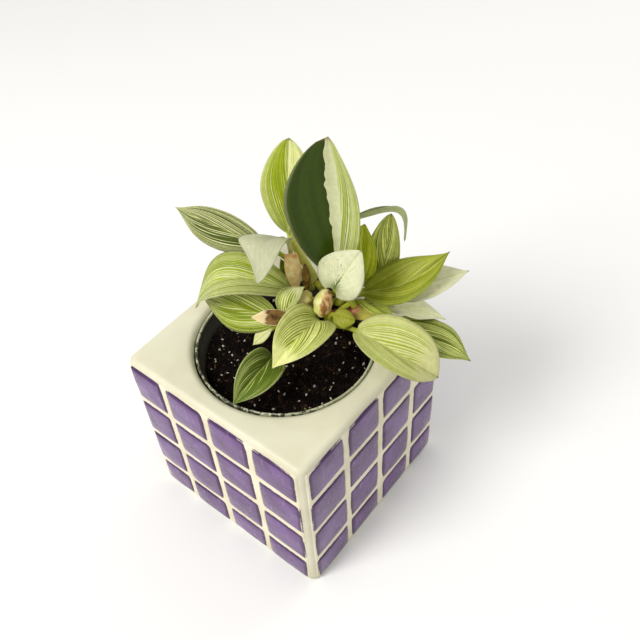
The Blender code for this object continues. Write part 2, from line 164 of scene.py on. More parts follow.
def joined_rings(rings, first_hub=None, last_hub=None):
    """Quads between closed rings of equal length, with the ends closed on hub points."""
    count = len(rings[0])
    points = [tuple(p) for ring in rings for p in ring]
    faces = []
    for r in range(len(rings) - 1):
        for i in range(count):
            j = (i + 1) % count
            faces.append((r * count + i, r * count + j, (r + 1) * count + j, (r + 1) * count + i))
    for hub, start in ((first_hub, 0), (last_hub, (len(rings) - 1) * count)):
        if hub is not None:
            points.append(tuple(hub))
            tip = len(points) - 1
            faces.extend((start + i, start + (i + 1) % count, tip) for i in range(count))
    return points, faces


# %% [markdown]
# ## Helpers for materials
# A material here is a Principled shader fed by a few texture nodes. These helpers keep the
# wiring short: `new_finish` makes the material, `node` adds a node and sets its values, and
# `link` joins two sockets.

# %% Material helpers


def new_finish(name, roughness=0.5, **constants):
    made = bpy.data.materials.new(name)
    made.use_nodes = True
    tree = made.node_tree
    shader = tree.nodes["Principled BSDF"]
    shader.inputs["Roughness"].default_value = roughness
    for key, value in constants.items():
        shader.inputs[key.replace("_", " ").title().replace("Ior", "IOR")].default_value = value
    return made, tree, shader


def node(tree, kind, **values):
    """Adds a node. A value is set on the input socket of that name, or else on the node itself."""
    made = tree.nodes.new(kind)
    for key, value in values.items():
        title = key.replace("_", " ")
        sockets = [s for s in made.inputs if s.name.lower() == title]
        if sockets and not hasattr(made, key):
            sockets[0].default_value = value
        else:
            setattr(made, key, value)
    return made


def link(tree, source, target):
    tree.links.new(source, target)
    return target


def maths(tree, operation, a, b=None, c=None, clamp=False):
    """One Math node. Each input is a number or a socket."""
    made = tree.nodes.new("ShaderNodeMath")
    made.operation = operation
    made.use_clamp = clamp
    for slot, value in enumerate((a, b, c)):
        if value is None:
            continue
        if isinstance(value, (int, float)):
            made.inputs[slot].default_value = value
        else:
            tree.links.new(value, made.inputs[slot])
    return made.outputs[0]


def ramp_between(tree, value, low, high, to_low=0.0, to_high=1.0):
    """A smooth step from to_low to to_high as value goes from low to high."""
    made = tree.nodes.new("ShaderNodeMapRange")
    made.interpolation_type = "SMOOTHSTEP"
    for key, item in (("Value", value), ("From Min", low), ("From Max", high),
                      ("To Min", to_low), ("To Max", to_high)):
        if isinstance(item, (int, float)):
            made.inputs[key].default_value = item
        else:
            tree.links.new(item, made.inputs[key])
    return made.outputs["Result"]


def blend_colours(tree, factor, a, b):
    """Mixes two colours. The factor and the colours are constants or sockets."""
    made = tree.nodes.new("ShaderNodeMix")
    made.data_type = "RGBA"
    for slot, value in ((0, factor), (6, a), (7, b)):
        if isinstance(value, (int, float, tuple)):
            made.inputs[slot].default_value = value
        else:
            tree.links.new(value, made.inputs[slot])
    return made.outputs[2]


def object_noise(tree, scale, detail=3.0, roughness=0.5, stretch=(1.0, 1.0, 1.0)):
    """Noise laid through the object in millimetres: scale is in lumps per millimetre."""
    place = tree.nodes.new("ShaderNodeTexCoord")
    mapping = tree.nodes.new("ShaderNodeMapping")
    mapping.inputs["Scale"].default_value = [s / MM for s in stretch]
    tree.links.new(place.outputs["Object"], mapping.inputs["Vector"])
    made = node(tree, "ShaderNodeTexNoise", scale=scale, detail=detail, roughness=roughness)
    tree.links.new(mapping.outputs["Vector"], made.inputs["Vector"])
    return made.outputs["Fac"]


def bump_from(tree, shader, height, depth_mm, strength=1.0):
    made = node(tree, "ShaderNodeBump", strength=strength, distance=depth_mm * MM)
    tree.links.new(height, made.inputs["Height"])
    tree.links.new(made.outputs["Normal"], shader.inputs["Normal"])


# %% [markdown]
# ## Shader group: specks and pits
# The cast planter, its grout and the plastic pot all carry small dark specks, some of them tiny
# pits. One group makes them from a Voronoi pattern: each cell holds one spot, and only some cells
# show theirs. It puts out a mask, so each material decides how dark or how deep they are.

# %% Specks group


def group_with(name, inputs, outputs):
    tree = bpy.data.node_groups.new(name, "ShaderNodeTree")
    for title, kind, value in inputs:
        socket = tree.interface.new_socket(title, in_out="INPUT", socket_type=kind)
        if value is not None:
            socket.default_value = value
    for title, kind in outputs:
        tree.interface.new_socket(title, in_out="OUTPUT", socket_type=kind)
    return tree, tree.nodes.new("NodeGroupInput"), tree.nodes.new("NodeGroupOutput")


def specks_group():
    tree, given, result = group_with(
        "specks",
        [("Spacing", "NodeSocketFloat", 2.0), ("Size", "NodeSocketFloat", 0.15),
         ("Share", "NodeSocketFloat", 0.3)],
        [("Mask", "NodeSocketFloat")],
    )
    place = tree.nodes.new("ShaderNodeTexCoord")
    cells = tree.nodes.new("ShaderNodeVectorMath")
    cells.operation = "SCALE"
    per_metre = maths(tree, "DIVIDE", 1.0 / MM, given.outputs["Spacing"])
    tree.links.new(place.outputs["Object"], cells.inputs[0])
    tree.links.new(per_metre, cells.inputs["Scale"])
    spots = node(tree, "ShaderNodeTexVoronoi", scale=1.0)
    tree.links.new(cells.outputs[0], spots.inputs["Vector"])
    tone = tree.nodes.new("ShaderNodeSeparateColor")
    tree.links.new(spots.outputs["Color"], tone.inputs[0])
    chosen = maths(tree, "LESS_THAN", tone.outputs[0], given.outputs["Share"])
    reach = maths(tree, "MULTIPLY", given.outputs["Size"], maths(tree, "ADD", tone.outputs[1], 0.5))
    inside = ramp_between(tree, spots.outputs["Distance"], reach, maths(tree, "MULTIPLY", reach, 0.6))
    tree.links.new(maths(tree, "MULTIPLY", inside, chosen), result.inputs["Mask"])
    return tree


specks = specks_group()


def add_specks(tree, spacing, size, share):
    made = tree.nodes.new("ShaderNodeGroup")
    made.node_tree = specks
    made.inputs["Spacing"].default_value = spacing
    made.inputs["Size"].default_value = size
    made.inputs["Share"].default_value = share
    return made.outputs["Mask"]


print("group made:", specks.name)

# %% [markdown]
# ## Floor
# A plain pale sheet, not part of the object.

# %% Floor piece
paper, paper_tree, paper_shader = new_finish("pale_floor", 0.9)
paper_shader.inputs["Base Color"].default_value = (0.86, 0.86, 0.85, 1.0)
half_floor = FLOOR_SIZE / 2 / MM
floor = piece_from(
    "floor",
    [(-half_floor, -half_floor, -0.2), (half_floor, -half_floor, -0.2),
     (half_floor, half_floor, -0.2), (-half_floor, half_floor, -0.2)],
    [(0, 1, 2, 3)],
    paper,
)

# %% [markdown]
# ## Planter body
# A cream cube cast in one piece, with a round opening. Its walls are smooth to the touch but not
# true: the top waves a little and carries small pits. The mesh is a stack of rings that start as
# circles in the opening and end as rounded squares outside, so the quads flow from one shape into
# the other. A slow noise then moves the points of the top, with its rounded lip and edge, a little up and down.

# %% Planter body finish
SIDE, HEIGHT = 83.0, 80.0
CORNER_RADIUS, TOP_ROUND, FOOT_ROUND = 3.2, 2.2, 0.8
OPENING_RADIUS, LIP_ROUND, CAVITY_FLOOR = 34.0, 2.5, 13.0


def cast_finish(name, colour, shade, pit_share, roughness=0.45):
    made, tree, shader = new_finish(name, roughness, coat_roughness=0.35)
    clouds = object_noise(tree, 0.06, detail=4.0)
    tone = blend_colours(tree, ramp_between(tree, clouds, 0.35, 0.7), colour, shade)
    pits = add_specks(tree, 5.5, 0.08, pit_share)
    dust = add_specks(tree, 2.4, 0.045, pit_share * 0.6)
    marks = maths(tree, "MAXIMUM", pits, maths(tree, "MULTIPLY", dust, 0.6))
    marked = blend_colours(tree, maths(tree, "MULTIPLY", marks, 0.75), tone, srgb(120, 105, 80))
    link(tree, marked, shader.inputs["Base Color"])
    uneven = object_noise(tree, 0.35, detail=4.0, roughness=0.55)
    rough = ramp_between(tree, uneven, 0.3, 0.7, roughness - 0.08, roughness + 0.12)
    link(tree, rough, shader.inputs["Roughness"])
    height = maths(tree, "SUBTRACT", maths(tree, "MULTIPLY", uneven, 0.35), marks)
    bump_from(tree, shader, height, 0.25, 0.6)
    return made


cast_cream = cast_finish("cast_cream", srgb(213, 210, 185), srgb(205, 201, 173), 0.2)

# %% Planter body shape
AROUND = 192


def square_reach(angle, half, radius):
    """How far a rounded square's edge is from its middle in a given direction."""
    c, s = abs(cos(angle)), abs(sin(angle))
    flat = half / max(c, s)
    x, y = flat * c, flat * s
    inner = half - radius
    if x <= inner or y <= inner:
        return flat
    along = inner * (c + s)
    return along + (max(0.0, along * along - 2 * inner * inner + radius * radius)) ** 0.5


def planter_rings():
    """(radius function, height) pairs from the cavity's floor, over the top, to the foot."""
    half, r = SIDE / 2, OPENING_RADIUS
    rings = [(lambda a: r - 1.5, CAVITY_FLOOR), (lambda a: r, CAVITY_FLOOR + 1.5)]
    rings += [(lambda a: r, z) for z in (30.0, 45.0, 60.0, 70.0, 75.0)]
    for step in range(7):
        turn = pi / 2 * step / 6
        out, up = r + LIP_ROUND * (1 - cos(turn)), HEIGHT - LIP_ROUND * (1 - sin(turn))
        rings.append((lambda a, out=out: out, up))
    flat_edge = half - TOP_ROUND
    for share in (0.12, 0.3, 0.5, 0.7, 0.88, 1.0):
        rings.append((
            lambda a, share=share: (r + LIP_ROUND) * (1 - share)
            + share * square_reach(a, flat_edge, CORNER_RADIUS - 1.0),
            HEIGHT,
        ))
    for step in range(1, 7):
        turn = pi / 2 * step / 6
        wide = flat_edge + TOP_ROUND * sin(turn)
        rings.append((lambda a, wide=wide: square_reach(a, wide, CORNER_RADIUS),
                      HEIGHT - TOP_ROUND * (1 - cos(turn))))
    for z in (70.0, 60.0, 50.0, 40.0, 30.0, 20.0, 10.0, 4.0, FOOT_ROUND):
        rings.append((lambda a: square_reach(a, half, CORNER_RADIUS), z))
    rings.append((lambda a: square_reach(a, half - FOOT_ROUND, CORNER_RADIUS), 0.0))
    return rings


def corner_angles(count):
    """Angles round the planter, closer together at the four corners."""
    return [2 * pi * k / count - 0.11 * sin(8 * pi * k / count) * -1 for k in range(count)]


def planter_body():
    angles = corner_angles(AROUND)
    rings = []
    for reach, z in planter_rings():
        ring = []
        for a in angles:
            p = Vector((reach(a) * cos(a), reach(a) * sin(a), z))
            if z > FOOT_ROUND:
                lumps = noise.noise(p * 0.045) + 0.5 * noise.noise(p * 0.11 + Vector((7, 3, 1)))
                outside = 0.0 if z < HEIGHT - TOP_ROUND - 0.1 else 0.28
                p.z += outside * lumps
            ring.append(p)
        rings.append(ring)
    points, faces = joined_rings(rings, (0, 0, CAVITY_FLOOR), (0, 0, 0))
    return piece_from("planter_body", points, faces, cast_cream)


settle(planter_body(), "cast_cream", "planter_body")

# %% [markdown]
# ## Mosaic tiles
# Each face carries four rows and four columns of small tiles. A tile is a domed pillow of purple
# glaze over a pale body. This is work for Geometry Nodes: the script lays one point for each
# tile, with its size stored on it, and the tree builds a pillow at every point. A cube's points
# are pulled onto a superellipsoid, which gives the flat crown and the quickly rounded edge.

# %% Tile finish
PURPLE, PURPLE_DEEP, PURPLE_PALE = srgb(104, 66, 128), srgb(84, 50, 102), srgb(158, 132, 172)


def tile_finish():
    """Purple glaze with brushed pale streaks, a wavy gloss, fine scratches, and painted shade and dark reflection at
    each tile's edge.
    """
    made, tree, shader = new_finish("purple_tile", 0.16, coat_weight=0.1, coat_roughness=0.06)
    shader.inputs["Specular IOR Level"].default_value = 0.35
    shader.inputs["IOR"].default_value = 1.42
    cloud = object_noise(tree, 0.09, detail=3.0)
    streak = object_noise(tree, 0.3, detail=5.0, roughness=0.65, stretch=(1.0, 1.0, 0.3))
    base = blend_colours(tree, ramp_between(tree, cloud, 0.35, 0.68), PURPLE_DEEP, PURPLE)
    mottle = maths(tree, "MULTIPLY", ramp_between(tree, streak, 0.54, 0.74), 0.4)
    scratch = object_noise(tree, 0.9, detail=2.0, stretch=(0.25, 0.25, 2.2))
    lines = maths(tree, "MULTIPLY", ramp_between(tree, scratch, 0.67, 0.7), 0.3)
    glazed = blend_colours(tree, maths(tree, "MAXIMUM", mottle, lines), base, PURPLE_PALE)
    # Painted shade and dark reflection: the glaze darkens to a deep purple towards each tile's edge, where it curves
    # down into the joint.
    edge = node(tree, "ShaderNodeAttribute", attribute_name="tile_edge")
    rim = maths(tree, "MULTIPLY", ramp_between(tree, edge.outputs["Fac"], 0.9, 1.0), 0.6)
    link(tree, blend_colours(tree, rim, glazed, srgb(50, 32, 58)), shader.inputs["Base Color"])
    link(tree, ramp_between(tree, streak, 0.4, 0.7, 0.1, 0.3), shader.inputs["Roughness"])
    ripple = object_noise(tree, 0.16, detail=2.0)
    bump_from(tree, shader, ripple, 0.6, 0.5)
    return made


purple_tile = tile_finish()

# %% Tile maker in Geometry Nodes
COLUMNS_FROM_FRONT_CORNER = ((2.2, 21.8), (23.8, 42.4), (44.4, 63.0), (65.0, 81.0))
COLUMNS_EVEN = ((2.2, 20.35), (22.35, 40.5), (42.5, 60.65), (62.65, 80.8))
ROWS_FROM_FLOOR = ((1.6, 15.9), (17.9, 36.6), (38.6, 57.4), (59.4, 77.3))
TILE_PROUD = 1.2
TILE_SUNK = 1.4


def pillow_tree():
    """Geometry Nodes: a pillow tile at every point, sized by the point's tile_size attribute."""
    tree = bpy.data.node_groups.new("tile_maker", "GeometryNodeTree")
    face = tree.interface
    face.new_socket("Geometry", in_out="INPUT", socket_type="NodeSocketGeometry")
    for title, value in (("Squareness", 20.0), ("Edge Roundness", 4.5), ("Dome", 0.16), ("Wobble", 0.16)):
        face.new_socket(title, in_out="INPUT", socket_type="NodeSocketFloat").default_value = value
    face.new_socket("Finish", in_out="INPUT", socket_type="NodeSocketMaterial")
    face.new_socket("Geometry", in_out="OUTPUT", socket_type="NodeSocketGeometry")
    given, result = tree.nodes.new("NodeGroupInput"), tree.nodes.new("NodeGroupOutput")

    cube = tree.nodes.new("GeometryNodeMeshCube")
    cube.inputs["Size"].default_value = (2, 2, 2)
    for title, count in (("Vertices X", 17), ("Vertices Y", 17), ("Vertices Z", 5)):
        cube.inputs[title].default_value = count
    place = tree.nodes.new("GeometryNodeInputPosition")
    even = tree.nodes.new("ShaderNodeSeparateXYZ")
    link(tree, place.outputs[0], even.inputs[0])
    crowded = tree.nodes.new("ShaderNodeCombineXYZ")
    for k in range(2):
        link(tree, maths(tree, "SINE", maths(tree, "MULTIPLY", even.outputs[k], pi / 2)), crowded.inputs[k])
    link(tree, even.outputs[2], crowded.inputs[2])
    parts = tree.nodes.new("ShaderNodeSeparateXYZ")
    link(tree, crowded.outputs[0], parts.inputs[0])

    def norm_of(a, b, power):
        """The length of (a, b) under a power norm: 2 makes a circle, a high power makes a square."""
        total = maths(tree, "ADD", maths(tree, "POWER", maths(tree, "ABSOLUTE", a), power),
                      maths(tree, "POWER", maths(tree, "ABSOLUTE", b), power))
        return maths(tree, "POWER", total, maths(tree, "DIVIDE", 1.0, power))

    in_plan = norm_of(parts.outputs[0], parts.outputs[1], given.outputs["Squareness"])
    # Stores each point's nearness to the tile's edge as tile_edge; the tile finish uses it for painted shade and dark
    # reflection at the edge.
    marked = node(tree, "GeometryNodeStoreNamedAttribute", data_type="FLOAT", domain="POINT")
    marked.inputs["Name"].default_value = "tile_edge"
    link(tree, cube.outputs["Mesh"], marked.inputs["Geometry"])
    link(tree, in_plan, marked.inputs["Value"])
    whole = norm_of(in_plan, parts.outputs[2], given.outputs["Edge Roundness"])
    shrink = maths(tree, "DIVIDE", 1.0, whole)
    rounded = tree.nodes.new("ShaderNodeVectorMath")
    rounded.operation = "SCALE"
    link(tree, crowded.outputs[0], rounded.inputs[0])
    link(tree, shrink, rounded.inputs["Scale"])
    split = tree.nodes.new("ShaderNodeSeparateXYZ")
    link(tree, rounded.outputs[0], split.inputs[0])
    spread = maths(tree, "ADD", maths(tree, "MULTIPLY", split.outputs[0], split.outputs[0]),
                   maths(tree, "MULTIPLY", split.outputs[1], split.outputs[1]))
    crown = maths(tree, "SUBTRACT", 1.0, maths(tree, "MULTIPLY", spread, given.outputs["Dome"]))
    lifted = tree.nodes.new("ShaderNodeCombineXYZ")
    link(tree, split.outputs[0], lifted.inputs[0])
    link(tree, split.outputs[1], lifted.inputs[1])
    link(tree, maths(tree, "MULTIPLY", split.outputs[2], crown), lifted.inputs[2])
    pull = tree.nodes.new("GeometryNodeSetPosition")
    link(tree, marked.outputs[0], pull.inputs["Geometry"])
    link(tree, lifted.outputs[0], pull.inputs["Position"])

    size = node(tree, "GeometryNodeInputNamedAttribute", data_type="FLOAT_VECTOR")
    size.inputs["Name"].default_value = "tile_size"
    copies = tree.nodes.new("GeometryNodeInstanceOnPoints")
    link(tree, given.outputs["Geometry"], copies.inputs["Points"])
    link(tree, pull.outputs[0], copies.inputs["Instance"])
    link(tree, size.outputs["Attribute"], copies.inputs["Scale"])
    real = tree.nodes.new("GeometryNodeRealizeInstances")
    link(tree, copies.outputs[0], real.inputs[0])

    where = tree.nodes.new("GeometryNodeInputPosition")
    lumps = node(tree, "ShaderNodeTexNoise", scale=90.0, detail=1.0)
    link(tree, where.outputs[0], lumps.inputs["Vector"])
    centred = tree.nodes.new("ShaderNodeVectorMath")
    centred.operation = "SUBTRACT"
    link(tree, lumps.outputs["Color"], centred.inputs[0])
    centred.inputs[1].default_value = (0.5, 0.5, 0.5)
    scaled = tree.nodes.new("ShaderNodeVectorMath")
    scaled.operation = "SCALE"
    link(tree, centred.outputs[0], scaled.inputs[0])
    link(tree, maths(tree, "MULTIPLY", given.outputs["Wobble"], 3.0 * MM), scaled.inputs["Scale"])
    wobble = tree.nodes.new("GeometryNodeSetPosition")
    link(tree, real.outputs[0], wobble.inputs["Geometry"])
    link(tree, scaled.outputs[0], wobble.inputs["Offset"])
    smooth = tree.nodes.new("GeometryNodeSetShadeSmooth")
    link(tree, wobble.outputs[0], smooth.inputs["Geometry"])
    paint = tree.nodes.new("GeometryNodeSetMaterial")
    link(tree, smooth.outputs[0], paint.inputs["Geometry"])
    link(tree, given.outputs["Finish"], paint.inputs["Material"])
    link(tree, paint.outputs[0], result.inputs[0])
    return tree


def socket_id(tree, title):
    """The identifier of a group input. A modifier's value is set by it, not by the name."""
    return next(i.identifier for i in tree.interface.items_tree
                if i.name == title and i.in_out == "INPUT")


def grown(seed_mesh, name, tree, **values):
    """Runs a Geometry Nodes tree on a mesh and returns the plain mesh that comes out."""
    holder = bpy.data.objects.new(name + "_source", seed_mesh)
    bpy.context.scene.collection.objects.link(holder)
    step = holder.modifiers.new("grow", "NODES")
    step.node_group = tree
    for title, value in values.items():
        step[socket_id(tree, title.replace("_", " "))] = value
    holder.update_tag()
    bpy.context.view_layer.update()
    graph = bpy.context.evaluated_depsgraph_get()
    mesh = bpy.data.meshes.new_from_object(holder.evaluated_get(graph))
    mesh.name = name
    holder.modifiers.clear()
    bpy.data.objects.remove(holder, do_unlink=True)
    return mesh


tile_maker = pillow_tree()

# %% Lay the tiles
HALF = SIDE / 2
FACE_AXES = {
    "front": (Vector((HALF, -HALF, 0)), Vector((-1, 0, 0)), Vector((0, -1, 0))),
    "right": (Vector((HALF, -HALF, 0)), Vector((0, 1, 0)), Vector((1, 0, 0))),
    "back": (Vector((HALF, HALF, 0)), Vector((-1, 0, 0)), Vector((0, 1, 0))),
    "left": (Vector((-HALF, -HALF, 0)), Vector((0, 1, 0)), Vector((-1, 0, 0))),
}


def columns_of(side):
    return COLUMNS_FROM_FRONT_CORNER if side in ("front", "right") else COLUMNS_EVEN


def tile_points(side):
    """One point in the middle of each tile, in the face's own plane, with its half sizes."""
    mesh = bpy.data.meshes.new("tile_points")
    centres, sizes = [], []
    draw = np.random.default_rng({"front": 3, "right": 5, "back": 7, "left": 9}[side])
    for a0, a1 in columns_of(side):
        for u0, u1 in ROWS_FROM_FLOOR:
            shift = draw.normal(0.0, 0.10, 2)
            out = (TILE_PROUD - TILE_SUNK) / 2 + draw.normal(0.0, 0.06)
            centres.append(((a0 + a1) / 2 + shift[0], (u0 + u1) / 2 + shift[1], out))
            sizes.append(((a1 - a0) / 2 - 0.2, (u1 - u0) / 2 - 0.05, (TILE_PROUD + TILE_SUNK) / 2))
    mesh.from_pydata([Vector(c) * MM for c in centres], [], [])
    stored = mesh.attributes.new("tile_size", "FLOAT_VECTOR", "POINT")
    stored.data.foreach_set("vector", (np.array(sizes) * MM).ravel())
    return mesh


def onto_face(mesh, side):
    """Moves a mesh from the face's plane (along, up, out) to its place on the planter."""
    origin, along, out = FACE_AXES[side]
    turned = Matrix((along, Vector((0, 0, 1)), out)).transposed().to_4x4()
    mesh.transform(Matrix.Translation(origin * MM) @ turned)
    if turned.determinant() < 0:
        mesh.flip_normals()


for side in FACE_AXES:
    tile_mesh = grown(tile_points(side), "tiles_" + side, tile_maker, Finish=purple_tile)
    onto_face(tile_mesh, side)
    tiles = bpy.data.objects.new("tiles_" + side, tile_mesh)
    bpy.context.scene.collection.objects.link(tiles)
    settle(tiles, "purple_tile", "tiles_" + side)

# %% [markdown]
# ## Grout
# Between the tiles lies the same cream mix, wiped level with a finger or a sponge, and it rises a
# little towards the middle of each joint. Each face has one sheet of it: a grid
# of points whose height follows the distance to the nearest tile edge, with a little noise.

# %% Grout
cream_grout = cast_finish("cream_grout", srgb(232, 224, 198), srgb(216, 206, 178), 0.3, 0.6)
GROUT_STEP = 0.75
GROUT_LEVEL = 0.55


def joint_depth(value, pairs):
    """How far a point lies from the nearest tile edge, when it is in a joint, else 0."""
    for low, high in pairs:
        if low <= value <= high:
            return 0.0
    return min(abs(value - edge) for pair in pairs for edge in pair)


def grout_sheet(side):
    columns = columns_of(side)
    a0, a1 = columns[0][0] - 0.4, columns[-1][1] + 0.4
    u0, u1 = ROWS_FROM_FLOOR[0][0] - 0.4, ROWS_FROM_FLOOR[-1][1] + 0.4
    na, nu = int((a1 - a0) / GROUT_STEP), int((u1 - u0) / GROUT_STEP)
    points, faces = [], []
    for i in range(na + 1):
        for j in range(nu + 1):
            a, u = a0 + (a1 - a0) * i / na, u0 + (u1 - u0) * j / nu
            hollow = max(joint_depth(a, columns), joint_depth(u, ROWS_FROM_FLOOR))
            rough = noise.noise(Vector((a, u, HALF)) * 0.9) * 0.07
            rim = min(i, j, na - i, nu - j) == 0
            out = -0.5 if rim else GROUT_LEVEL - 0.1 + 0.12 * min(1.0, hollow) + rough
            points.append((a, u, out))
    for i in range(na):
        for j in range(nu):
            k = i * (nu + 1) + j
            faces.append((k, k + 1, k + nu + 2, k + nu + 1))
    back = [(a0, u0, -1.0), (a0, u1, -1.0), (a1, u1, -1.0), (a1, u0, -1.0)]
    base = len(points)
    points += back
    faces.append((base, base + 3, base + 2, base + 1))
    left = [j for j in range(nu + 1)]
    right = [na * (nu + 1) + j for j in range(nu + 1)]
    low = [i * (nu + 1) for i in range(na + 1)]
    high = [i * (nu + 1) + nu for i in range(na + 1)]
    faces.append(tuple(left + [base + 1, base]))
    faces.append(tuple(right[::-1] + [base + 3, base + 2]))
    faces.append(tuple(low[::-1] + [base, base + 3]))
    faces.append(tuple(high + [base + 2, base + 1]))
    made = piece_from("grout_" + side, points, faces, cream_grout)
    onto_face(made.data, side)
    return made


for side in FACE_AXES:
    settle(grout_sheet(side), "cream_grout", "grout_" + side)

# %% [markdown]
# ## Nursery pot
# A thin grey-green plastic cup. Only its rim shows, dusty with potting mix. Its inner wall under
# the rim is darkened by soil stain and painted shade, and the front of the rim by painted shade from
# the planter's lip. It is a turned profile: the outer wall, the band under the rim, the rim itself
# and the inner wall.

# %% Nursery pot
POT_RIM_RADIUS, POT_RIM_TOP, POT_RIM_BAND = 33.3, 78.4, 5.0
POT_SHOULDER_RADIUS, POT_FOOT_RADIUS, POT_WALL = 32.2, 24.0, 0.9
POT_FLOOR = CAVITY_FLOOR + 0.3


def pot_finish():
    made, tree, shader = new_finish("nursery_plastic", 0.5)
    cloud = object_noise(tree, 0.12, detail=4.0)
    plastic = blend_colours(tree, ramp_between(tree, cloud, 0.3, 0.7), srgb(160, 163, 130), srgb(192, 194, 164))
    dirt = object_noise(tree, 0.55, detail=5.0, roughness=0.65)
    place = tree.nodes.new("ShaderNodeTexCoord")
    parts = tree.nodes.new("ShaderNodeSeparateXYZ")
    link(tree, place.outputs["Object"], parts.inputs[0])
    # Soil stain and painted shade: the inner wall darkens from just under the rim top down towards the soil.
    depth = ramp_between(tree, parts.outputs[2], (POT_RIM_TOP - 0.4) * MM, (POT_RIM_TOP - 2.2) * MM)
    inward = maths(tree, "POWER", maths(tree, "ADD", maths(tree, "POWER", parts.outputs[0], 2.0),
                                        maths(tree, "POWER", parts.outputs[1], 2.0)), 0.5)
    inner = ramp_between(tree, inward, (POT_RIM_RADIUS - 0.2) * MM, (POT_RIM_RADIUS - 0.7) * MM)
    wall_stain_and_shade = maths(tree, "MULTIPLY", depth, inner)
    # Painted shade: more dark patches towards the front (-Y), where the planter's lip shades the rim.
    painted_front_shade = ramp_between(tree, parts.outputs[1], -10.0 * MM, -26.0 * MM, 0.0, 0.14)
    dirt_plus_shade = maths(tree, "ADD", maths(tree, "ADD", dirt, painted_front_shade), maths(tree, "MULTIPLY", wall_stain_and_shade, 0.8))
    patchy_dirt_and_shade = ramp_between(tree, dirt_plus_shade, 0.56, 0.68)
    dirt_shade_and_specks = maths(tree, "MAXIMUM", patchy_dirt_and_shade, add_specks(tree, 1.6, 0.28, 0.35))
    # One near-black colour serves the dirt, the specks and the painted shade alike.
    link(tree, blend_colours(tree, maths(tree, "MULTIPLY", dirt_shade_and_specks, 0.95), plastic, srgb(24, 18, 12)),
         shader.inputs["Base Color"])
    bump_from(tree, shader, dirt, 0.15, 0.5)
    return made


def nursery_pot():
    rim, shoulder, wall = POT_RIM_RADIUS, POT_SHOULDER_RADIUS, POT_WALL
    top, band, floor_z = POT_RIM_TOP, POT_RIM_BAND, POT_FLOOR
    profile = [
        (POT_FOOT_RADIUS - 1.0, floor_z), (POT_FOOT_RADIUS, floor_z + 0.6),
        (shoulder, top - band), (rim, top - band + 0.6), (rim, top - 0.5),
        (rim - 0.15, top - 0.12), (rim - 0.45, top), (rim - 0.75, top - 0.12), (rim - wall, top - 0.5),
        (rim - wall, top - band + 1.6), (shoulder - wall, top - band + 0.4), (shoulder - wall - 1.2, 64.0),
        (POT_FOOT_RADIUS - wall, floor_z + wall),
    ]
    rings = []
    for r, z in profile:
        ring = []
        for k in range(128):
            a = 2 * pi * k / 128
            waver = 0.12 * sin(2 * a + 0.6) + 0.05 * sin(5 * a)
            near_rim = 1.0 if z > 70 else 0.0
            ring.append(((r + waver * near_rim) * cos(a), (r + waver * near_rim) * sin(a), z))
        rings.append(ring)
    points, faces = joined_rings(rings, (0, 0, floor_z), (0, 0, floor_z + wall))
    return piece_from("nursery_pot", points, faces, pot_finish())


settle(nursery_pot(), "nursery_plastic", "nursery_pot")

# %% [markdown]
# ## Potting mix
# Dark peat and bark with white perlite. The ground itself is a disc of rings whose points follow
# the CAD's low waves, with finer noise on top. Everything loose on it is scattered by one
# Geometry Nodes tree: it drops points on the ground, puts a small rough pebble at each, and turns
# and scales each one at random from a fixed seed. The same tree makes the fine crumbs, the
# perlite and the bark flakes, with other values.

# %% Ground
SOIL_TOP, SOIL_BUMP = 71.0, 0.9
STEM_FOOT = (-1.0, 12.0)
GROUND_RADIUS = 30.2


def soil_height(x, y):
    """The CAD's top of the mix: low waves that flatten out round the stem."""
    waves = sin(0.31 * x + 0.7) * cos(0.27 * y - 0.4) + 0.5 * sin(0.53 * x - 0.41 * y + 1.9)
    away = ((x - STEM_FOOT[0]) ** 2 + (y - STEM_FOOT[1]) ** 2) ** 0.5
    return SOIL_TOP + SOIL_BUMP * waves * min(1.0, max(0.0, (away - 9.0) / 5.0))


def soil_finish(name, dark, light, spread, roughness=0.95):
    made, tree, shader = new_finish(name, roughness)
    shader.inputs["Specular IOR Level"].default_value = 0.1
    grain = object_noise(tree, spread, detail=5.0, roughness=0.7)
    link(tree, blend_colours(tree, ramp_between(tree, grain, 0.42, 0.72), dark, light),
         shader.inputs["Base Color"])
    bump_from(tree, shader, grain, 0.5, 0.8)
    return made


def ground():
    rings = [[(22.5 * cos(2 * pi * k / 144), 22.5 * sin(2 * pi * k / 144), POT_FLOOR + 1.2) for k in range(144)]]
    for step in range(46):
        r = GROUND_RADIUS * (1 - step / 46.0)
        ring = []
        for k in range(144):
            x, y = r * cos(2 * pi * k / 144), r * sin(2 * pi * k / 144)
            p = Vector((x, y, 0.0))
            fine = 0.55 * noise.noise(p * 0.35) + 0.35 * noise.noise(p * 0.9) + 0.15 * noise.noise(p * 2.3)
            ring.append((x, y, soil_height(x, y) + fine - 0.35))
        rings.append(ring)
    points, faces = joined_rings(rings, (0, 0, POT_FLOOR + 1.2), (0, 0, soil_height(0, 0) - 0.35))
    return piece_from("potting_mix", points, faces, soil_finish("potting_mix", srgb(6, 4, 3), srgb(26, 18, 13), 0.9))


soil = settle(ground(), "potting_mix", "potting_mix")

# %% Scatter tree


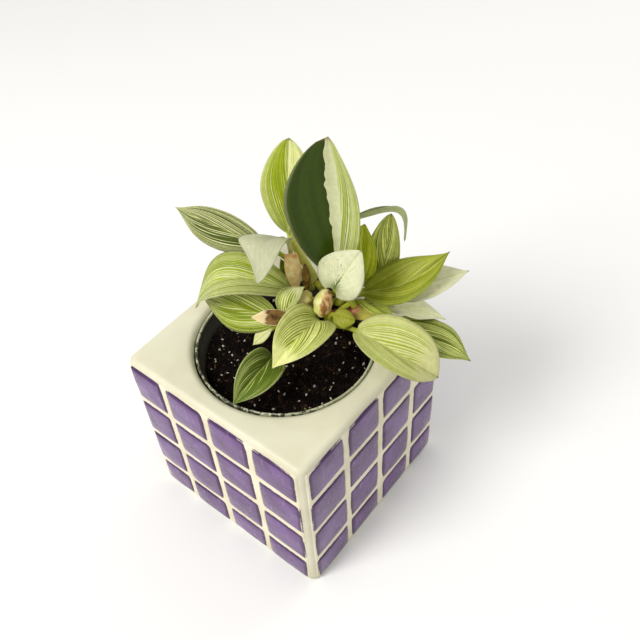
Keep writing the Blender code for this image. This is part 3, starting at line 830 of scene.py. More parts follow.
def scatter_tree():
    """Geometry Nodes: rough pebbles scattered on a surface, turned and sized at random."""
    tree = bpy.data.node_groups.new("scatter", "GeometryNodeTree")
    face = tree.interface
    face.new_socket("Geometry", in_out="INPUT", socket_type="NodeSocketGeometry")
    for title, kind, value in (
        ("Gap", "NodeSocketFloat", 1.0), ("Crowd", "NodeSocketFloat", 1.0),
        ("Smallest", "NodeSocketVector", (0.3, 0.3, 0.3)), ("Largest", "NodeSocketVector", (0.8, 0.8, 0.8)),
        ("Tilt", "NodeSocketFloat", 3.14), ("Rise", "NodeSocketFloat", 0.1), ("Seed", "NodeSocketInt", 1),
        ("Rounder", "NodeSocketInt", 1),
    ):
        face.new_socket(title, in_out="INPUT", socket_type=kind).default_value = value
    face.new_socket("Finish", in_out="INPUT", socket_type="NodeSocketMaterial")
    face.new_socket("Geometry", in_out="OUTPUT", socket_type="NodeSocketGeometry")
    given, result = tree.nodes.new("NodeGroupInput"), tree.nodes.new("NodeGroupOutput")

    drop = node(tree, "GeometryNodeDistributePointsOnFaces", distribute_method="POISSON")
    link(tree, given.outputs["Geometry"], drop.inputs["Mesh"])
    link(tree, maths(tree, "MULTIPLY", given.outputs["Gap"], MM), drop.inputs["Distance Min"])
    link(tree, maths(tree, "DIVIDE", given.outputs["Crowd"], MM * MM), drop.inputs["Density Max"])
    link(tree, given.outputs["Seed"], drop.inputs["Seed"])

    pebble = tree.nodes.new("GeometryNodeMeshIcoSphere")
    pebble.inputs["Radius"].default_value = 0.5 * MM
    link(tree, given.outputs["Rounder"], pebble.inputs["Subdivisions"])

    size = node(tree, "FunctionNodeRandomValue", data_type="FLOAT_VECTOR")
    link(tree, given.outputs["Smallest"], size.inputs[0])
    link(tree, given.outputs["Largest"], size.inputs[1])
    link(tree, given.outputs["Seed"], size.inputs["Seed"])
    turn = node(tree, "FunctionNodeRandomValue", data_type="FLOAT_VECTOR")
    tilt = tree.nodes.new("ShaderNodeCombineXYZ")
    link(tree, given.outputs["Tilt"], tilt.inputs[0])
    link(tree, given.outputs["Tilt"], tilt.inputs[1])
    tilt.inputs[2].default_value = 2 * pi
    link(tree, tilt.outputs[0], turn.inputs[1])
    link(tree, maths(tree, "ADD", given.outputs["Seed"], 40.0), turn.inputs["Seed"])
    copies = tree.nodes.new("GeometryNodeInstanceOnPoints")
    link(tree, drop.outputs["Points"], copies.inputs["Points"])
    link(tree, pebble.outputs["Mesh"], copies.inputs["Instance"])
    link(tree, size.outputs[0], copies.inputs["Scale"])
    link(tree, turn.outputs[0], copies.inputs["Rotation"])
    real = tree.nodes.new("GeometryNodeRealizeInstances")
    link(tree, copies.outputs[0], real.inputs[0])

    where = tree.nodes.new("GeometryNodeInputPosition")
    lumps = node(tree, "ShaderNodeTexNoise", scale=1400.0, detail=1.0)
    link(tree, where.outputs[0], lumps.inputs["Vector"])
    centred = node(tree, "ShaderNodeVectorMath", operation="SUBTRACT")
    link(tree, lumps.outputs["Color"], centred.inputs[0])
    centred.inputs[1].default_value = (0.5, 0.5, 0.5)
    rough = node(tree, "ShaderNodeVectorMath", operation="SCALE")
    link(tree, centred.outputs[0], rough.inputs[0])
    rough.inputs["Scale"].default_value = 0.6 * MM
    lift = tree.nodes.new("ShaderNodeCombineXYZ")
    link(tree, maths(tree, "MULTIPLY", given.outputs["Rise"], MM), lift.inputs[2])
    both = node(tree, "ShaderNodeVectorMath", operation="ADD")
    link(tree, rough.outputs[0], both.inputs[0])
    link(tree, lift.outputs[0], both.inputs[1])
    move = tree.nodes.new("GeometryNodeSetPosition")
    link(tree, real.outputs[0], move.inputs["Geometry"])
    link(tree, both.outputs[0], move.inputs["Offset"])
    paint = tree.nodes.new("GeometryNodeSetMaterial")
    link(tree, move.outputs[0], paint.inputs["Geometry"])
    link(tree, given.outputs["Finish"], paint.inputs["Material"])
    link(tree, paint.outputs[0], result.inputs[0])
    return tree


scatter = scatter_tree()


def open_ground():
    """The top of the mix as a bare mesh, without the strip that the pot wall and stem cover."""
    mesh = soil.data.copy()
    work = bmesh.new()
    work.from_mesh(mesh)
    foot = Vector((STEM_FOOT[0] * MM, STEM_FOOT[1] * MM))
    hidden = [
        f for f in work.faces
        if f.normal.z < 0.3 or f.calc_center_median().z < 60 * MM
        or (f.calc_center_median().xy - foot).length < 5.0 * MM
    ]
    bmesh.ops.delete(work, geom=hidden, context="FACES")
    work.to_mesh(mesh)
    work.free()
    return mesh


def scattered(name, **values):
    made = bpy.data.objects.new(name, grown(open_ground(), name, scatter, **values))
    bpy.context.scene.collection.objects.link(made)
    return settle(made, "potting_mix")


crumb_finish = soil_finish("soil_crumbs", srgb(8, 5, 4), srgb(54, 37, 29), 0.3)
bark_finish = soil_finish("bark_flakes", srgb(30, 20, 14), srgb(86, 60, 42), 0.25, 0.85)
perlite_finish = soil_finish("perlite", srgb(180, 172, 158), srgb(232, 228, 218), 0.8, 0.8)
moss_finish = soil_finish("moss_bits", srgb(104, 98, 48), srgb(150, 140, 88), 0.5, 0.85)

scattered("soil_crumbs", Gap=0.62, Crowd=2.2, Smallest=(0.5, 0.5, 0.4), Largest=(1.7, 1.4, 1.0),
          Rise=0.05, Seed=3, Finish=crumb_finish)
scattered("bark_flakes", Gap=2.4, Crowd=0.09, Smallest=(0.9, 0.4, 0.25), Largest=(3.0, 1.2, 0.5),
          Tilt=0.8, Rise=0.45, Seed=11, Finish=bark_finish)
scattered("perlite", Gap=1.6, Crowd=0.035, Smallest=(0.35, 0.35, 0.35), Largest=(1.7, 1.4, 1.1),
          Rise=0.3, Seed=21, Rounder=1, Finish=perlite_finish)
scattered("moss_bits", Gap=4.0, Crowd=0.012, Smallest=(0.5, 0.3, 0.3), Largest=(1.6, 1.0, 0.7),
          Tilt=1.0, Rise=0.45, Seed=33, Finish=moss_finish)

# %% [markdown]
# ## Leaf pattern
# The leaves are what this plant is grown for. Pale stripes follow the side veins, which leave the
# midrib at a narrow angle and sweep forward to the edge. So the pattern is drawn in the leaf's own
# coordinates: Across runs from -1 at the left edge to 1 at the right, Along from 0 at the base to
# 1 at the tip. Subtracting a share of |Across| from Along gives one number that is constant on
# each vein, and noise on that number gives stripes. Each half of a leaf has its own amount of
# cream. The group puts out masks and a height. Every leaf material places it with its own values.

# %% Leaf pattern group


def leaf_pattern_group():
    tree, given, result = group_with(
        "leaf_pattern",
        [("Pale Left", "NodeSocketFloat", 0.4), ("Pale Right", "NodeSocketFloat", 0.4),
         ("Stripes", "NodeSocketFloat", 20.0), ("Sweep", "NodeSocketFloat", 0.45),
         ("Softness", "NodeSocketFloat", 0.06), ("Pale Middle", "NodeSocketFloat", 0.0),
         ("Pale Tip", "NodeSocketFloat", 0.0), ("Ragged", "NodeSocketFloat", 0.0),
         ("Seed", "NodeSocketFloat", 0.0)],
        [("Paleness", "NodeSocketFloat"), ("Tone", "NodeSocketFloat"), ("Right Half", "NodeSocketFloat"),
         ("Margin", "NodeSocketFloat"), ("Midrib", "NodeSocketFloat"), ("Relief", "NodeSocketFloat"),
         ("Along", "NodeSocketFloat"), ("Out", "NodeSocketFloat")],
    )

    def times(a, b):
        return maths(tree, "MULTIPLY", a, b)

    def plus(a, b):
        return maths(tree, "ADD", a, b)

    layout = node(tree, "ShaderNodeUVMap", uv_map="leaf")
    parts = tree.nodes.new("ShaderNodeSeparateXYZ")
    link(tree, layout.outputs[0], parts.inputs[0])
    across = maths(tree, "SUBTRACT", times(parts.outputs[0], 2.0), 1.0)
    along = parts.outputs[1]
    out = maths(tree, "ABSOLUTE", across)
    right = ramp_between(tree, across, -0.015, 0.015)
    wobble = node(tree, "ShaderNodeTexNoise", scale=1.0, detail=2.0, roughness=0.5)
    down = tree.nodes.new("ShaderNodeCombineXYZ")
    link(tree, times(along, 7.0), down.inputs[0])
    link(tree, given.outputs["Seed"], down.inputs[1])
    link(tree, down.outputs[0], wobble.inputs["Vector"])
    edge_of_half = times(maths(tree, "SUBTRACT", wobble.outputs["Fac"], 1.1), given.outputs["Ragged"])
    edge_of_half = times(edge_of_half, plus(along, 0.4))
    right_side = ramp_between(tree, maths(tree, "SUBTRACT", across, edge_of_half), -0.015, 0.015)
    bend = maths(tree, "DIVIDE", times(maths(tree, "POWER", out, 5.0), 0.3), maths(tree, "SUBTRACT", 1.12, out))
    vein = maths(tree, "SUBTRACT", along, times(plus(out, bend), given.outputs["Sweep"]))
    shift = plus(times(right, 7.3), given.outputs["Seed"])

    def striped_noise(per_leaf, out_scale, offset, detail):
        spot = tree.nodes.new("ShaderNodeCombineXYZ")
        link(tree, times(vein, per_leaf), spot.inputs[0])
        link(tree, times(out, out_scale), spot.inputs[1])
        link(tree, plus(shift, offset), spot.inputs[2])
        made = node(tree, "ShaderNodeTexNoise", scale=1.0, detail=detail, roughness=0.6)
        link(tree, spot.outputs[0], made.inputs["Vector"])
        return made.outputs["Fac"]

    count = given.outputs["Stripes"]
    broad = striped_noise(times(count, 0.25), 0.8, 11.0, 1.0)
    fine = striped_noise(times(count, 1.1), 1.6, 0.0, 2.0)
    hair = striped_noise(times(count, 3.0), 3.0, 31.0, 1.0)
    wander = striped_noise(times(count, 0.5), 1.0, 57.0, 0.0)
    wave = maths(tree, "SINE", times(plus(times(vein, count), times(wander, 1.6)), 2 * pi))
    mixed = plus(plus(times(broad, 0.3), times(fine, 0.3)), plus(times(hair, 0.14), times(wave, 0.09)))
    mixed = plus(mixed, 0.13)
    amount = plus(given.outputs["Pale Left"],
                  times(right_side, maths(tree, "SUBTRACT", given.outputs["Pale Right"], given.outputs["Pale Left"])))
    middle = times(right_side, ramp_between(tree, across, 0.2, 0.02))
    amount = plus(amount, times(middle, given.outputs["Pale Middle"]))
    amount = plus(amount, times(ramp_between(tree, along, 0.6, 0.95), given.outputs["Pale Tip"]))
    level = maths(tree, "SUBTRACT", 0.68, times(amount, 0.36))
    pale = ramp_between(tree, mixed, maths(tree, "SUBTRACT", level, given.outputs["Softness"]),
                        plus(level, given.outputs["Softness"]))
    ragged = times(maths(tree, "SUBTRACT", fine, 0.5), 0.12)
    margin = ramp_between(tree, plus(out, ragged), 0.92, 0.975)
    midrib = ramp_between(tree, out, 0.05, 0.015)
    relief = maths(tree, "SUBTRACT", times(wave, 0.5), times(midrib, 1.2))
    for title, socket in (("Paleness", pale), ("Tone", broad), ("Right Half", right_side), ("Margin", margin),
                          ("Midrib", midrib), ("Relief", relief), ("Along", along), ("Out", out)):
        link(tree, socket, result.inputs[title])
    return tree


leaf_pattern = leaf_pattern_group()

# %% [markdown]
# ## Leaf finish
# A leaf's colour is built in layers: two greens, the cream stripes, a pale midrib and margin, and
# the brown tip point. Below zero on the Along axis lies the stalk, which keeps its own green.
# The underside of the same leaf is paler and duller. The blade lets some light through, so a
# little subsurface scattering softens it.

# %% Leaf finish
CREAM = srgb(216, 218, 158)
LIME, LIME_PALE = srgb(154, 170, 24), srgb(196, 206, 84)
MOSS, MOSS_DEEP = srgb(122, 138, 16), srgb(88, 102, 14)
BOTTLE, BOTTLE_SHEEN = srgb(42, 58, 2), srgb(50, 68, 6)
STALK_GREEN = srgb(158, 164, 50)


def leaf_finish(name, dark=MOSS, mid=LIME, pale=CREAM, left=None, amounts=(0.4, 0.4), stripes=20.0, sweep=0.45,
                soft=0.04, middle=0.0, tip=0.0, ragged=0.0, seed=0.0, edge=0.65, rough=0.42, stalk=STALK_GREEN,
                rib=0.35, point=0.6, under=0.4, gloss=0.18, veins=0.45, heart=0.0, dots=0.0):
    """dark, mid and pale are the three tones of a stripe; left gives the left half its own dark and mid.

    middle adds cream beside the midrib of the right half and ragged moves the line between the halves.
    heart is how green the veins are where they meet the stalk, dots the share of small dark specks.
    """
    made, tree, shader = new_finish(name, rough, subsurface_weight=0.1)
    shader.inputs["Subsurface Radius"].default_value = (1.0, 1.0, 0.3)
    shader.inputs["Subsurface Scale"].default_value = 0.5 * MM
    shader.inputs["Specular IOR Level"].default_value = gloss
    drawn = tree.nodes.new("ShaderNodeGroup")
    drawn.node_tree = leaf_pattern
    for title, value in (("Pale Left", amounts[0]), ("Pale Right", amounts[1]), ("Stripes", stripes),
                         ("Sweep", sweep), ("Softness", soft), ("Pale Middle", middle), ("Pale Tip", tip),
                         ("Ragged", ragged), ("Seed", seed)):
        drawn.inputs[title].default_value = value
    got = drawn.outputs
    half = blend_colours(tree, got["Right Half"], (left or (dark, mid))[0], dark)
    half_mid = blend_colours(tree, got["Right Half"], (left or (dark, mid))[1], mid)
    tone = ramp_between(tree, got["Tone"], 0.38, 0.66)
    green = blend_colours(tree, tone, half, half_mid)
    colour = blend_colours(tree, ramp_between(tree, got["Paleness"], 0.0, 0.55), green, half_mid)
    colour = blend_colours(tree, ramp_between(tree, got["Paleness"], 0.3, 1.0), colour, pale)
    colour = blend_colours(tree, maths(tree, "MULTIPLY", got["Midrib"], rib), colour, srgb(196, 204, 110))
    colour = blend_colours(tree, maths(tree, "MULTIPLY", got["Margin"], edge), colour, pale)
    brown = ramp_between(tree, got["Along"], 0.965, 0.99)
    colour = blend_colours(tree, maths(tree, "MULTIPLY", brown, point), colour, srgb(96, 76, 44))
    if heart:
        start = maths(tree, "ADD", got["Along"], maths(tree, "MULTIPLY", got["Out"], 0.25))
        start = maths(tree, "ADD", start, maths(tree, "MULTIPLY", got["Relief"], 0.16))
        colour = blend_colours(tree, maths(tree, "MULTIPLY", ramp_between(tree, start, 0.3, 0.02), heart), colour, dark)
    if dots:
        colour = blend_colours(tree, maths(tree, "MULTIPLY", add_specks(tree, 1.3, 0.2, dots), 0.7), colour, dark)
    below = node(tree, "ShaderNodeAttribute", attribute_name="underside")
    colour = blend_colours(tree, maths(tree, "MULTIPLY", below.outputs["Fac"], under), colour, srgb(196, 204, 140))
    on_stalk = ramp_between(tree, got["Along"], 0.015, -0.03)
    colour = blend_colours(tree, on_stalk, colour, stalk)
    mottle = object_noise(tree, 0.5, detail=3.0)
    light = tree.nodes.new("ShaderNodeHueSaturation")
    link(tree, ramp_between(tree, mottle, 0.3, 0.75, 0.92, 1.06), light.inputs["Value"])
    link(tree, colour, light.inputs["Color"])
    link(tree, light.outputs[0], shader.inputs["Base Color"])
    dull = maths(tree, "ADD", ramp_between(tree, mottle, 0.3, 0.7, rough - 0.06, rough + 0.08),
                 maths(tree, "MULTIPLY", below.outputs["Fac"], 0.2))
    link(tree, dull, shader.inputs["Roughness"])
    bump_from(tree, shader, got["Relief"], 0.2, veins)
    return made


print("leaf pattern outputs:", [i.name for i in leaf_pattern.interface.items_tree if i.in_out == "OUTPUT"])

# %% [markdown]
# ## Leaf shape
# One leaf is one closed body: a round stalk that opens into a flat blade. The blade follows a
# midrib that bows, its halves fold up from it, and each half has its own width. These are the same
# rules and numbers as in the CAD, with more points, a groove along the midrib, a thin edge and a
# gentle wave. Each leaf carries its own coordinates for the pattern.

# %% Leaf shape
BLADE_HALF_THICKNESS = 0.34
STATIONS = 44
ACROSS = 22
STALK_RINGS = 14


def unit(v):
    return v / np.linalg.norm(v)


def bezier(p0, p1, p2, p3, t):
    return p0 * (1 - t) ** 3 + 3 * p1 * t * (1 - t) ** 2 + 3 * p2 * t * t * (1 - t) + p3 * t**3


class Blade:
    """A leaf blade from its base to its tip. faces is the way its upper side looks."""

    def __init__(self, base, tip, faces, left, right, fold=12, rise=2, sway=0,
                 widest=0.42, peak=0.5, point=0.62, wave=0.35, cup=0.0, lobe=1.2):
        self.base, self.tip = np.array(base, float), np.array(tip, float)
        self.along = unit(self.tip - self.base)
        up = np.array(faces, float)
        self.up = unit(up - self.along * (up @ self.along))
        self.side = np.cross(self.along, self.up)
        self.left, self.right, self.fold = left, right, radians(fold)
        self.rise, self.sway, self.wave, self.cup, self.lobe = rise, sway, wave, cup, lobe
        self.bulge = log(0.5) / log(widest)
        self.hump = log(0.5) / log(peak)
        self.point = point

    def midrib(self, s):
        bow = self.rise * sin(pi * s**self.hump)
        return self.base + (self.tip - self.base) * s + self.up * bow + self.side * self.sway * sin(pi * s)

    def axes(self, s):
        ahead = unit(self.midrib(min(s + 1e-3, 1.0)) - self.midrib(max(s - 1e-3, 0.0)))
        up = unit(self.up - ahead * (self.up @ ahead))
        return ahead, up, np.cross(ahead, up)

    def share(self, s):
        return max(0.0, sin(pi * s**self.bulge)) ** (0.62 + self.point * s * s)

    def surface(self, s, t, least=0.0):
        """The middle of the blade at share s of the length and t from -1 (left) to 1 (right)."""
        ahead, up, side = self.axes(s)
        wide = self.share(s)
        half = self.right if t > 0 else self.left
        reach = abs(t) * max(wide * half, least)
        out = cos(self.fold) * reach * (1 if t > 0 else -1)
        ripple = self.wave * wide * t * t * sin(11 * s + 2.1 * (t > 0) + self.tip[0])
        bend = self.cup * wide * t * t
        back = self.lobe * abs(t) ** 1.5 * (1 - s) ** 3
        return self.midrib(s) + side * out + up * (sin(self.fold) * reach + ripple + bend) - ahead * back


def leaf(name, finish, root, stalk=1.0, lift=0.3, lead=0.35, slot="leaf", **shape):
    """One leaf in one closed mesh, with its pattern coordinates and an underside attribute."""
    blade = Blade(**shape)
    root = np.array(root, float)
    ahead, up, side = blade.axes(0.0)
    reach = np.linalg.norm(blade.base - root)
    bend = root + np.array((0, 0, lift * reach))
    meet = blade.base - ahead * lead * reach
    turns = [pi - pi * j / ACROSS for j in range(2 * ACROSS)]
    spread = [-1 + 2 * j / ACROSS if j <= ACROSS else 3 - 2 * j / ACROSS for j in range(2 * ACROSS)]
    rings, places, below = [], [], []
    for k in range(STALK_RINGS):
        t = k / STALK_RINGS
        centre = bezier(root, bend, meet, blade.base, t)
        tangent = unit(bezier(root, bend, meet, blade.base, t + 0.02) - centre)
        across = unit(side - tangent * (side @ tangent))
        above = np.cross(across, tangent)
        radius = stalk * (1.15 - 0.35 * t)
        rings.append([centre + radius * (across * cos(a) + above * sin(a)) for a in turns])
        places.append([((x + 1) / 2, -0.3 * (1 - t)) for x in spread])
        below.append([0.0 if j <= ACROSS else 1.0 for j in range(2 * ACROSS)])
    for step in range(1, STATIONS):
        s = 0.004 + 0.99 * (step / STATIONS) ** 1.15
        _, up, _ = blade.axes(s)
        ring, place = [], []
        for j, t in enumerate(spread):
            top = j <= ACROSS
            groove = np.exp(-((t / 0.07) ** 2))
            body = BLADE_HALF_THICKNESS * (1 - t**4) + 0.02
            if not top:
                body += 0.75 * stalk * (1 - s) ** 1.4 * np.exp(-((t * blade.left / (stalk + 0.6)) ** 2))
            else:
                body += 0.8 * stalk * max(0.0, 1 - 6 * s) * groove
                body -= 0.22 * groove * min(1.0, 8 * s)
            ring.append(blade.surface(s, t, 0.8 * stalk * (1 - s)) + up * body * (1 if top else -1))
            place.append(((t + 1) / 2, s))
        rings.append(ring)
        places.append(place)
        below.append([0.0 if j <= ACROSS else 1.0 for j in range(2 * ACROSS)])
    points, faces = joined_rings(rings, root - (rings[1][0] - rings[0][0]) * 0.01, blade.tip)
    made = piece_from(name, points, faces, finish)
    flat = [uv for place in places for uv in place] + [(0.5, -0.3), (0.5, 1.0)]
    layer = made.data.uv_layers.new(name="leaf")
    corners = np.zeros(len(made.data.loops), np.int32)
    made.data.loops.foreach_get("vertex_index", corners)
    layer.data.foreach_set("uv", np.array(flat, float)[corners].ravel())
    side_flag = made.data.attributes.new("underside", "FLOAT", "POINT")
    side_flag.data.foreach_set("value", np.array([v for row in below for v in row] + [0.5, 0.0]))
    return settle(made, slot, name)


# %% [markdown]
# ## The leaves one by one
# Positions, sizes and turns are the CAD's. Each leaf gets the stripes that its own photograph
# shows: the tall front leaf is dark green on one half, with a ragged line to the cream of the
# other, the folded one is almost all cream, the ones low on the left are finely striped.

# %% Tall leaves
leaf(
    "leaf_tall_front",
    leaf_finish("leaf_half_dark", MOSS, LIME, srgb(196, 198, 156), left=(BOTTLE, BOTTLE_SHEEN), amounts=(-0.3, 0.46),
                stripes=6, sweep=2.0, middle=0.9, ragged=0.3, seed=2.0, rough=0.34, edge=0.25, rib=0.0, gloss=0.16,
                veins=0.06),
    root=(15, 16, 100), stalk=1.6, base=(16, 13, 112), tip=(14, 14, 165), faces=(0.2, -1, 0.1), left=17,
    right=11, fold=24, rise=-3, widest=0.48, point=0,
)
leaf(
    "leaf_tall_back",
    leaf_finish("leaf_lime_and_cream", srgb(160, 176, 34), srgb(206, 214, 96), CREAM, left=(srgb(146, 162, 24), srgb(184, 196, 66)),
                amounts=(0.42, 0.72), stripes=6, sweep=1.6, stalk=srgb(206, 206, 104), seed=5.0),
    root=(3, 15, 99), stalk=1.6, base=(-6, 15, 118), tip=(-5, 18, 155), faces=(0.4, -1, 0.1), left=9,
    right=11, fold=12, rise=2, widest=0.5, point=0,
)

# %% Leaves on the left
leaf(
    "leaf_left_striped",
    leaf_finish("leaf_dark_fine_stripes", srgb(72, 84, 16), srgb(98, 110, 30), srgb(212, 213, 158), amounts=(0.38, 0.42),
                stripes=7.5, sweep=1.4, tip=0.15, soft=0.03, seed=8.0),
    root=(0, 17, 92), base=(-19, 13, 107), tip=(-51, 3, 116), faces=(0.3, -0.8, 0.5), left=8, right=7,
    fold=14, rise=1, widest=0.46,
)
leaf(
    "leaf_folded_cream",
    leaf_finish("leaf_pale_back", srgb(172, 176, 138), srgb(178, 180, 146), srgb(184, 184, 154), amounts=(0.5, 0.5),
                seed=12.0, rough=0.5, stalk=srgb(186, 184, 120), under=0.0, edge=0.3, rib=0.0, veins=0.15),
    root=(-3.6, 12, 96.5), stalk=0.9, lead=0.1, base=(-4.4, 11, 117.9), tip=(-7, -3, 107),
    faces=(-0.4, -0.5, 0.8), left=14, right=12, fold=6, rise=9, sway=-2, peak=0.4,
)
leaf(
    "leaf_left_large",
    leaf_finish("leaf_broad_bands", MOSS, LIME, srgb(194, 196, 140), amounts=(0.54, 0.44), stripes=8, sweep=1.5,
                seed=15.0),
    root=(-2, 11, 91), base=(-3, 8, 97), tip=(-33, -12, 86), faces=(-0.2, -0.3, 0.9), left=9, right=11,
    fold=12, rise=13, widest=0.44,
)
leaf(
    "leaf_left_lower",
    leaf_finish("leaf_lime_stripes", MOSS, LIME, amounts=(0.33, 0.4), stripes=7, sweep=1.3, tip=0.25, seed=19.0),
    root=(0, 7, 85), base=(-4, 0, 89), tip=(-35, -7, 88), faces=(0.2, -0.9, 0.5), left=9, right=9, fold=10,
    rise=1,
)

# %% Leaves in the middle
leaf(
    "leaf_centre_cream",
    leaf_finish("leaf_speckled_cream", srgb(84, 104, 30), srgb(202, 207, 156), srgb(213, 215, 177), amounts=(0.95, 0.95),
                stripes=12, sweep=0.9, seed=23.0, rib=0.15, heart=0.9, dots=0.22),
    root=(21, 15, 97), base=(17, 10, 108.5), tip=(27, 12, 129), faces=(0.25, -0.8, 0.45), left=9, right=8.3,
    fold=8, rise=1.5, widest=0.4, point=0.25, lobe=6,
)
leaf(
    "leaf_small_upright",
    leaf_finish("leaf_small_striped", MOSS, LIME, amounts=(0.45, 0.6), stripes=5, sweep=1.2, tip=0.6, seed=26.0),
    root=(3, 5, 88), base=(1, 0, 94), tip=(6, 7, 105), faces=(0.3, -0.5, 0.8), left=6, right=2, fold=4,
    rise=1,
)
leaf(
    "leaf_front_centre",
    leaf_finish("leaf_striped_pale_tip", MOSS, srgb(172, 186, 46), srgb(224, 226, 152), amounts=(0.54, 0.56), stripes=8, sweep=1.3,
                tip=0.8, seed=29.0),
    root=(6, 7, 86), base=(11, 6, 91), tip=(11, -19, 89), faces=(0.3, -0.1, 0.95), left=12, right=10,
    fold=38, rise=4, widest=0.38, lobe=2,
)
leaf(
    "leaf_over_soil",
    leaf_finish("leaf_dark_veined", srgb(84, 104, 24), srgb(108, 128, 40), srgb(206, 212, 140), amounts=(0.3, 0.3),
                stripes=6.5, sweep=1.2, rib=0.7, soft=0.03, seed=33.0),
    root=(-1, 7, 75), base=(3, -11, 81), tip=(5, -34, 80), faces=(0.4, -0.1, 0.9), left=9, right=8, fold=36,
    rise=4, lobe=1.5,
)

# %% Leaves on the right
leaf(
    "leaf_right_pale",
    leaf_finish("leaf_pale_striped", srgb(140, 156, 40), srgb(176, 186, 84), srgb(206, 206, 146), amounts=(0.6, 0.58), stripes=8.5,
                sweep=1.3, tip=0.7, soft=0.06, seed=38.5),
    root=(9, 9, 84), lift=0.1, base=(27, 10, 92), tip=(56, 16, 82), faces=(0.4, -0.3, 0.85), left=13,
    right=11, fold=40, rise=5, sway=1, widest=0.48, point=0.3, lobe=2,
)
leaf(
    "leaf_right_dark",
    leaf_finish("leaf_dark_stripes", MOSS_DEEP, MOSS, srgb(214, 218, 138), amounts=(0.38, 0.4), stripes=8,
                sweep=1.4, soft=0.03, seed=41.0),
    root=(8, 15, 82), base=(33, 21, 90), tip=(63, 25, 87), faces=(0.1, 0, 1), left=8, right=8, fold=8,
    rise=1, sway=-1, widest=0.47,
)
leaf(
    "leaf_right_green",
    leaf_finish("leaf_plain_lime", srgb(114, 126, 20), srgb(146, 152, 40), srgb(184, 190, 96), amounts=(0.2, 0.26), stripes=7,
                sweep=1.2, soft=0.12, seed=44.0, edge=0.5, point=1.0, veins=0.3),
    root=(14, 15, 95), stalk=1.7, base=(22, 21, 100), tip=(43, 40, 116), faces=(-0.1, -0.6, 0.8), left=9,
    right=7, fold=9, rise=1, sway=4,
)
cream_far = leaf_finish("leaf_cream_far", srgb(214, 214, 164), srgb(222, 222, 178), srgb(228, 228, 190),
                        amounts=(0.6, 0.6), stripes=8, sweep=1.2, seed=47.0)
leaf(
    "leaf_right_cream_far", cream_far,
    root=(7, 16, 91), base=(28, 28, 97), tip=(48, 46, 105), faces=(-0.2, -0.3, 0.9), left=8, right=8,
    fold=13, rise=2, sway=2,
)
leaf(
    "leaf_right_cream_low", cream_far,
    root=(6, 16, 86), base=(29, 27, 91), tip=(47, 34, 90), faces=(-0.2, 0.2, 0.95), left=6, right=7, fold=9,
    rise=1,
)
leaf(
    "leaf_narrow_olive",
    leaf_finish("leaf_olive", srgb(172, 184, 24), srgb(202, 210, 56), srgb(220, 226, 112), amounts=(0.32, 0.24),
                stripes=5, sweep=1.8, soft=0.08, seed=55.0, edge=0.4),
    root=(10, 18.4, 98), base=(16, 25.2, 97), tip=(20, 23.2, 128.6), faces=(0.3, -0.9, 0.1), left=7,
    right=6, fold=8, rise=1, widest=0.5, point=0.2, lobe=1,
)
leaf(
    "leaf_upright_striped",
    leaf_finish("leaf_upright_stripes", srgb(132, 148, 18), srgb(168, 180, 34), srgb(240, 242, 158),
                amounts=(0.46, 0.48), stripes=7, sweep=1.2, soft=0.03, seed=58.0),
    root=(5, 17, 94), base=(21, 32, 97), tip=(25, 31, 130), faces=(0.5, -0.9, 0), left=7, right=5, fold=8,
    rise=1, point=0,
)
leaf(
    "leaf_small_right",
    leaf_finish("leaf_small_green", MOSS, LIME, srgb(206, 206, 120), amounts=(0.35, 0.35), stripes=6, sweep=1.2,
                seed=61.0),
    root=(15, 12, 90), base=(23, 18, 98), tip=(35, 19, 97), faces=(0.1, 0, 1), left=4, right=4, fold=11,
    rise=1,
)
leaf(
    "leaf_arching",
    leaf_finish("leaf_edge_on", srgb(150, 158, 116), srgb(172, 178, 138), srgb(190, 194, 152), amounts=(0.3, 0.3),
                stripes=5, sweep=2.0, seed=64.0),
    root=(4.6, 19.8, 97), base=(17, 20, 132), tip=(30.5, 31, 120.5), faces=(0, 0.1, 1), left=1.8, right=1.8,
    fold=84, rise=9, peak=0.58, point=1.2, lobe=0,
)
leaf(
    "leaf_dark_sliver",
    leaf_finish("leaf_dark_small", MOSS_DEEP, MOSS, amounts=(0.1, 0.1), stripes=8, seed=67.0),
    root=(-5.2, 14.8, 91.5), base=(-6.4, 12.5, 97.4), tip=(-9.8, 12.5, 105.4), faces=(0.4, -0.6, 0.6),
    left=2, right=2, fold=6, rise=0, lobe=0,
)

# %% [markdown]
# ## Bracts, sheaths, shoot and stem
# Small scales sit between the leaves: two green ones, dry papery ones round the stalks, and the
# pale bud of the next leaf with its outer scale and a pale swelling beside it. The scales are made by the same leaf function, with plainer
# finishes. A dry sheath has one colour up to a ragged line and another beyond it and at its edges,
# so its finish reads the same leaf coordinates. The stem is a short tube with the rings that old leaf stalks leave.

# %% Small pieces
leaf(
    "bract_green",
    leaf_finish("bract_lime", srgb(138, 142, 36), srgb(158, 160, 56), srgb(180, 182, 84), amounts=(0.2, 0.2), stalk=srgb(136, 140, 36), stripes=5, edge=0.3, seed=71.0,
                point=0.0, rib=0.0),
    root=(14.5, 9.5, 90), base=(17, 9, 95.6), tip=(24, 11.5, 94.4), faces=(0.4, -0.5, 0.75), left=3,
    right=4, fold=4, rise=1, point=0, lobe=0.5, wave=0.1,
)
leaf(
    "bract_left",
    leaf_finish("bract_pale", LIME_PALE, srgb(214, 216, 140), amounts=(0.7, 0.7), stripes=6, seed=74.0, point=0.0),
    root=(-3, 8, 78), base=(-4, -3, 84.6), tip=(-8, -9, 79), faces=(-0.1, -0.8, 0.4), left=2, right=3,
    fold=10, rise=0, lobe=0.3, wave=0.1,
)


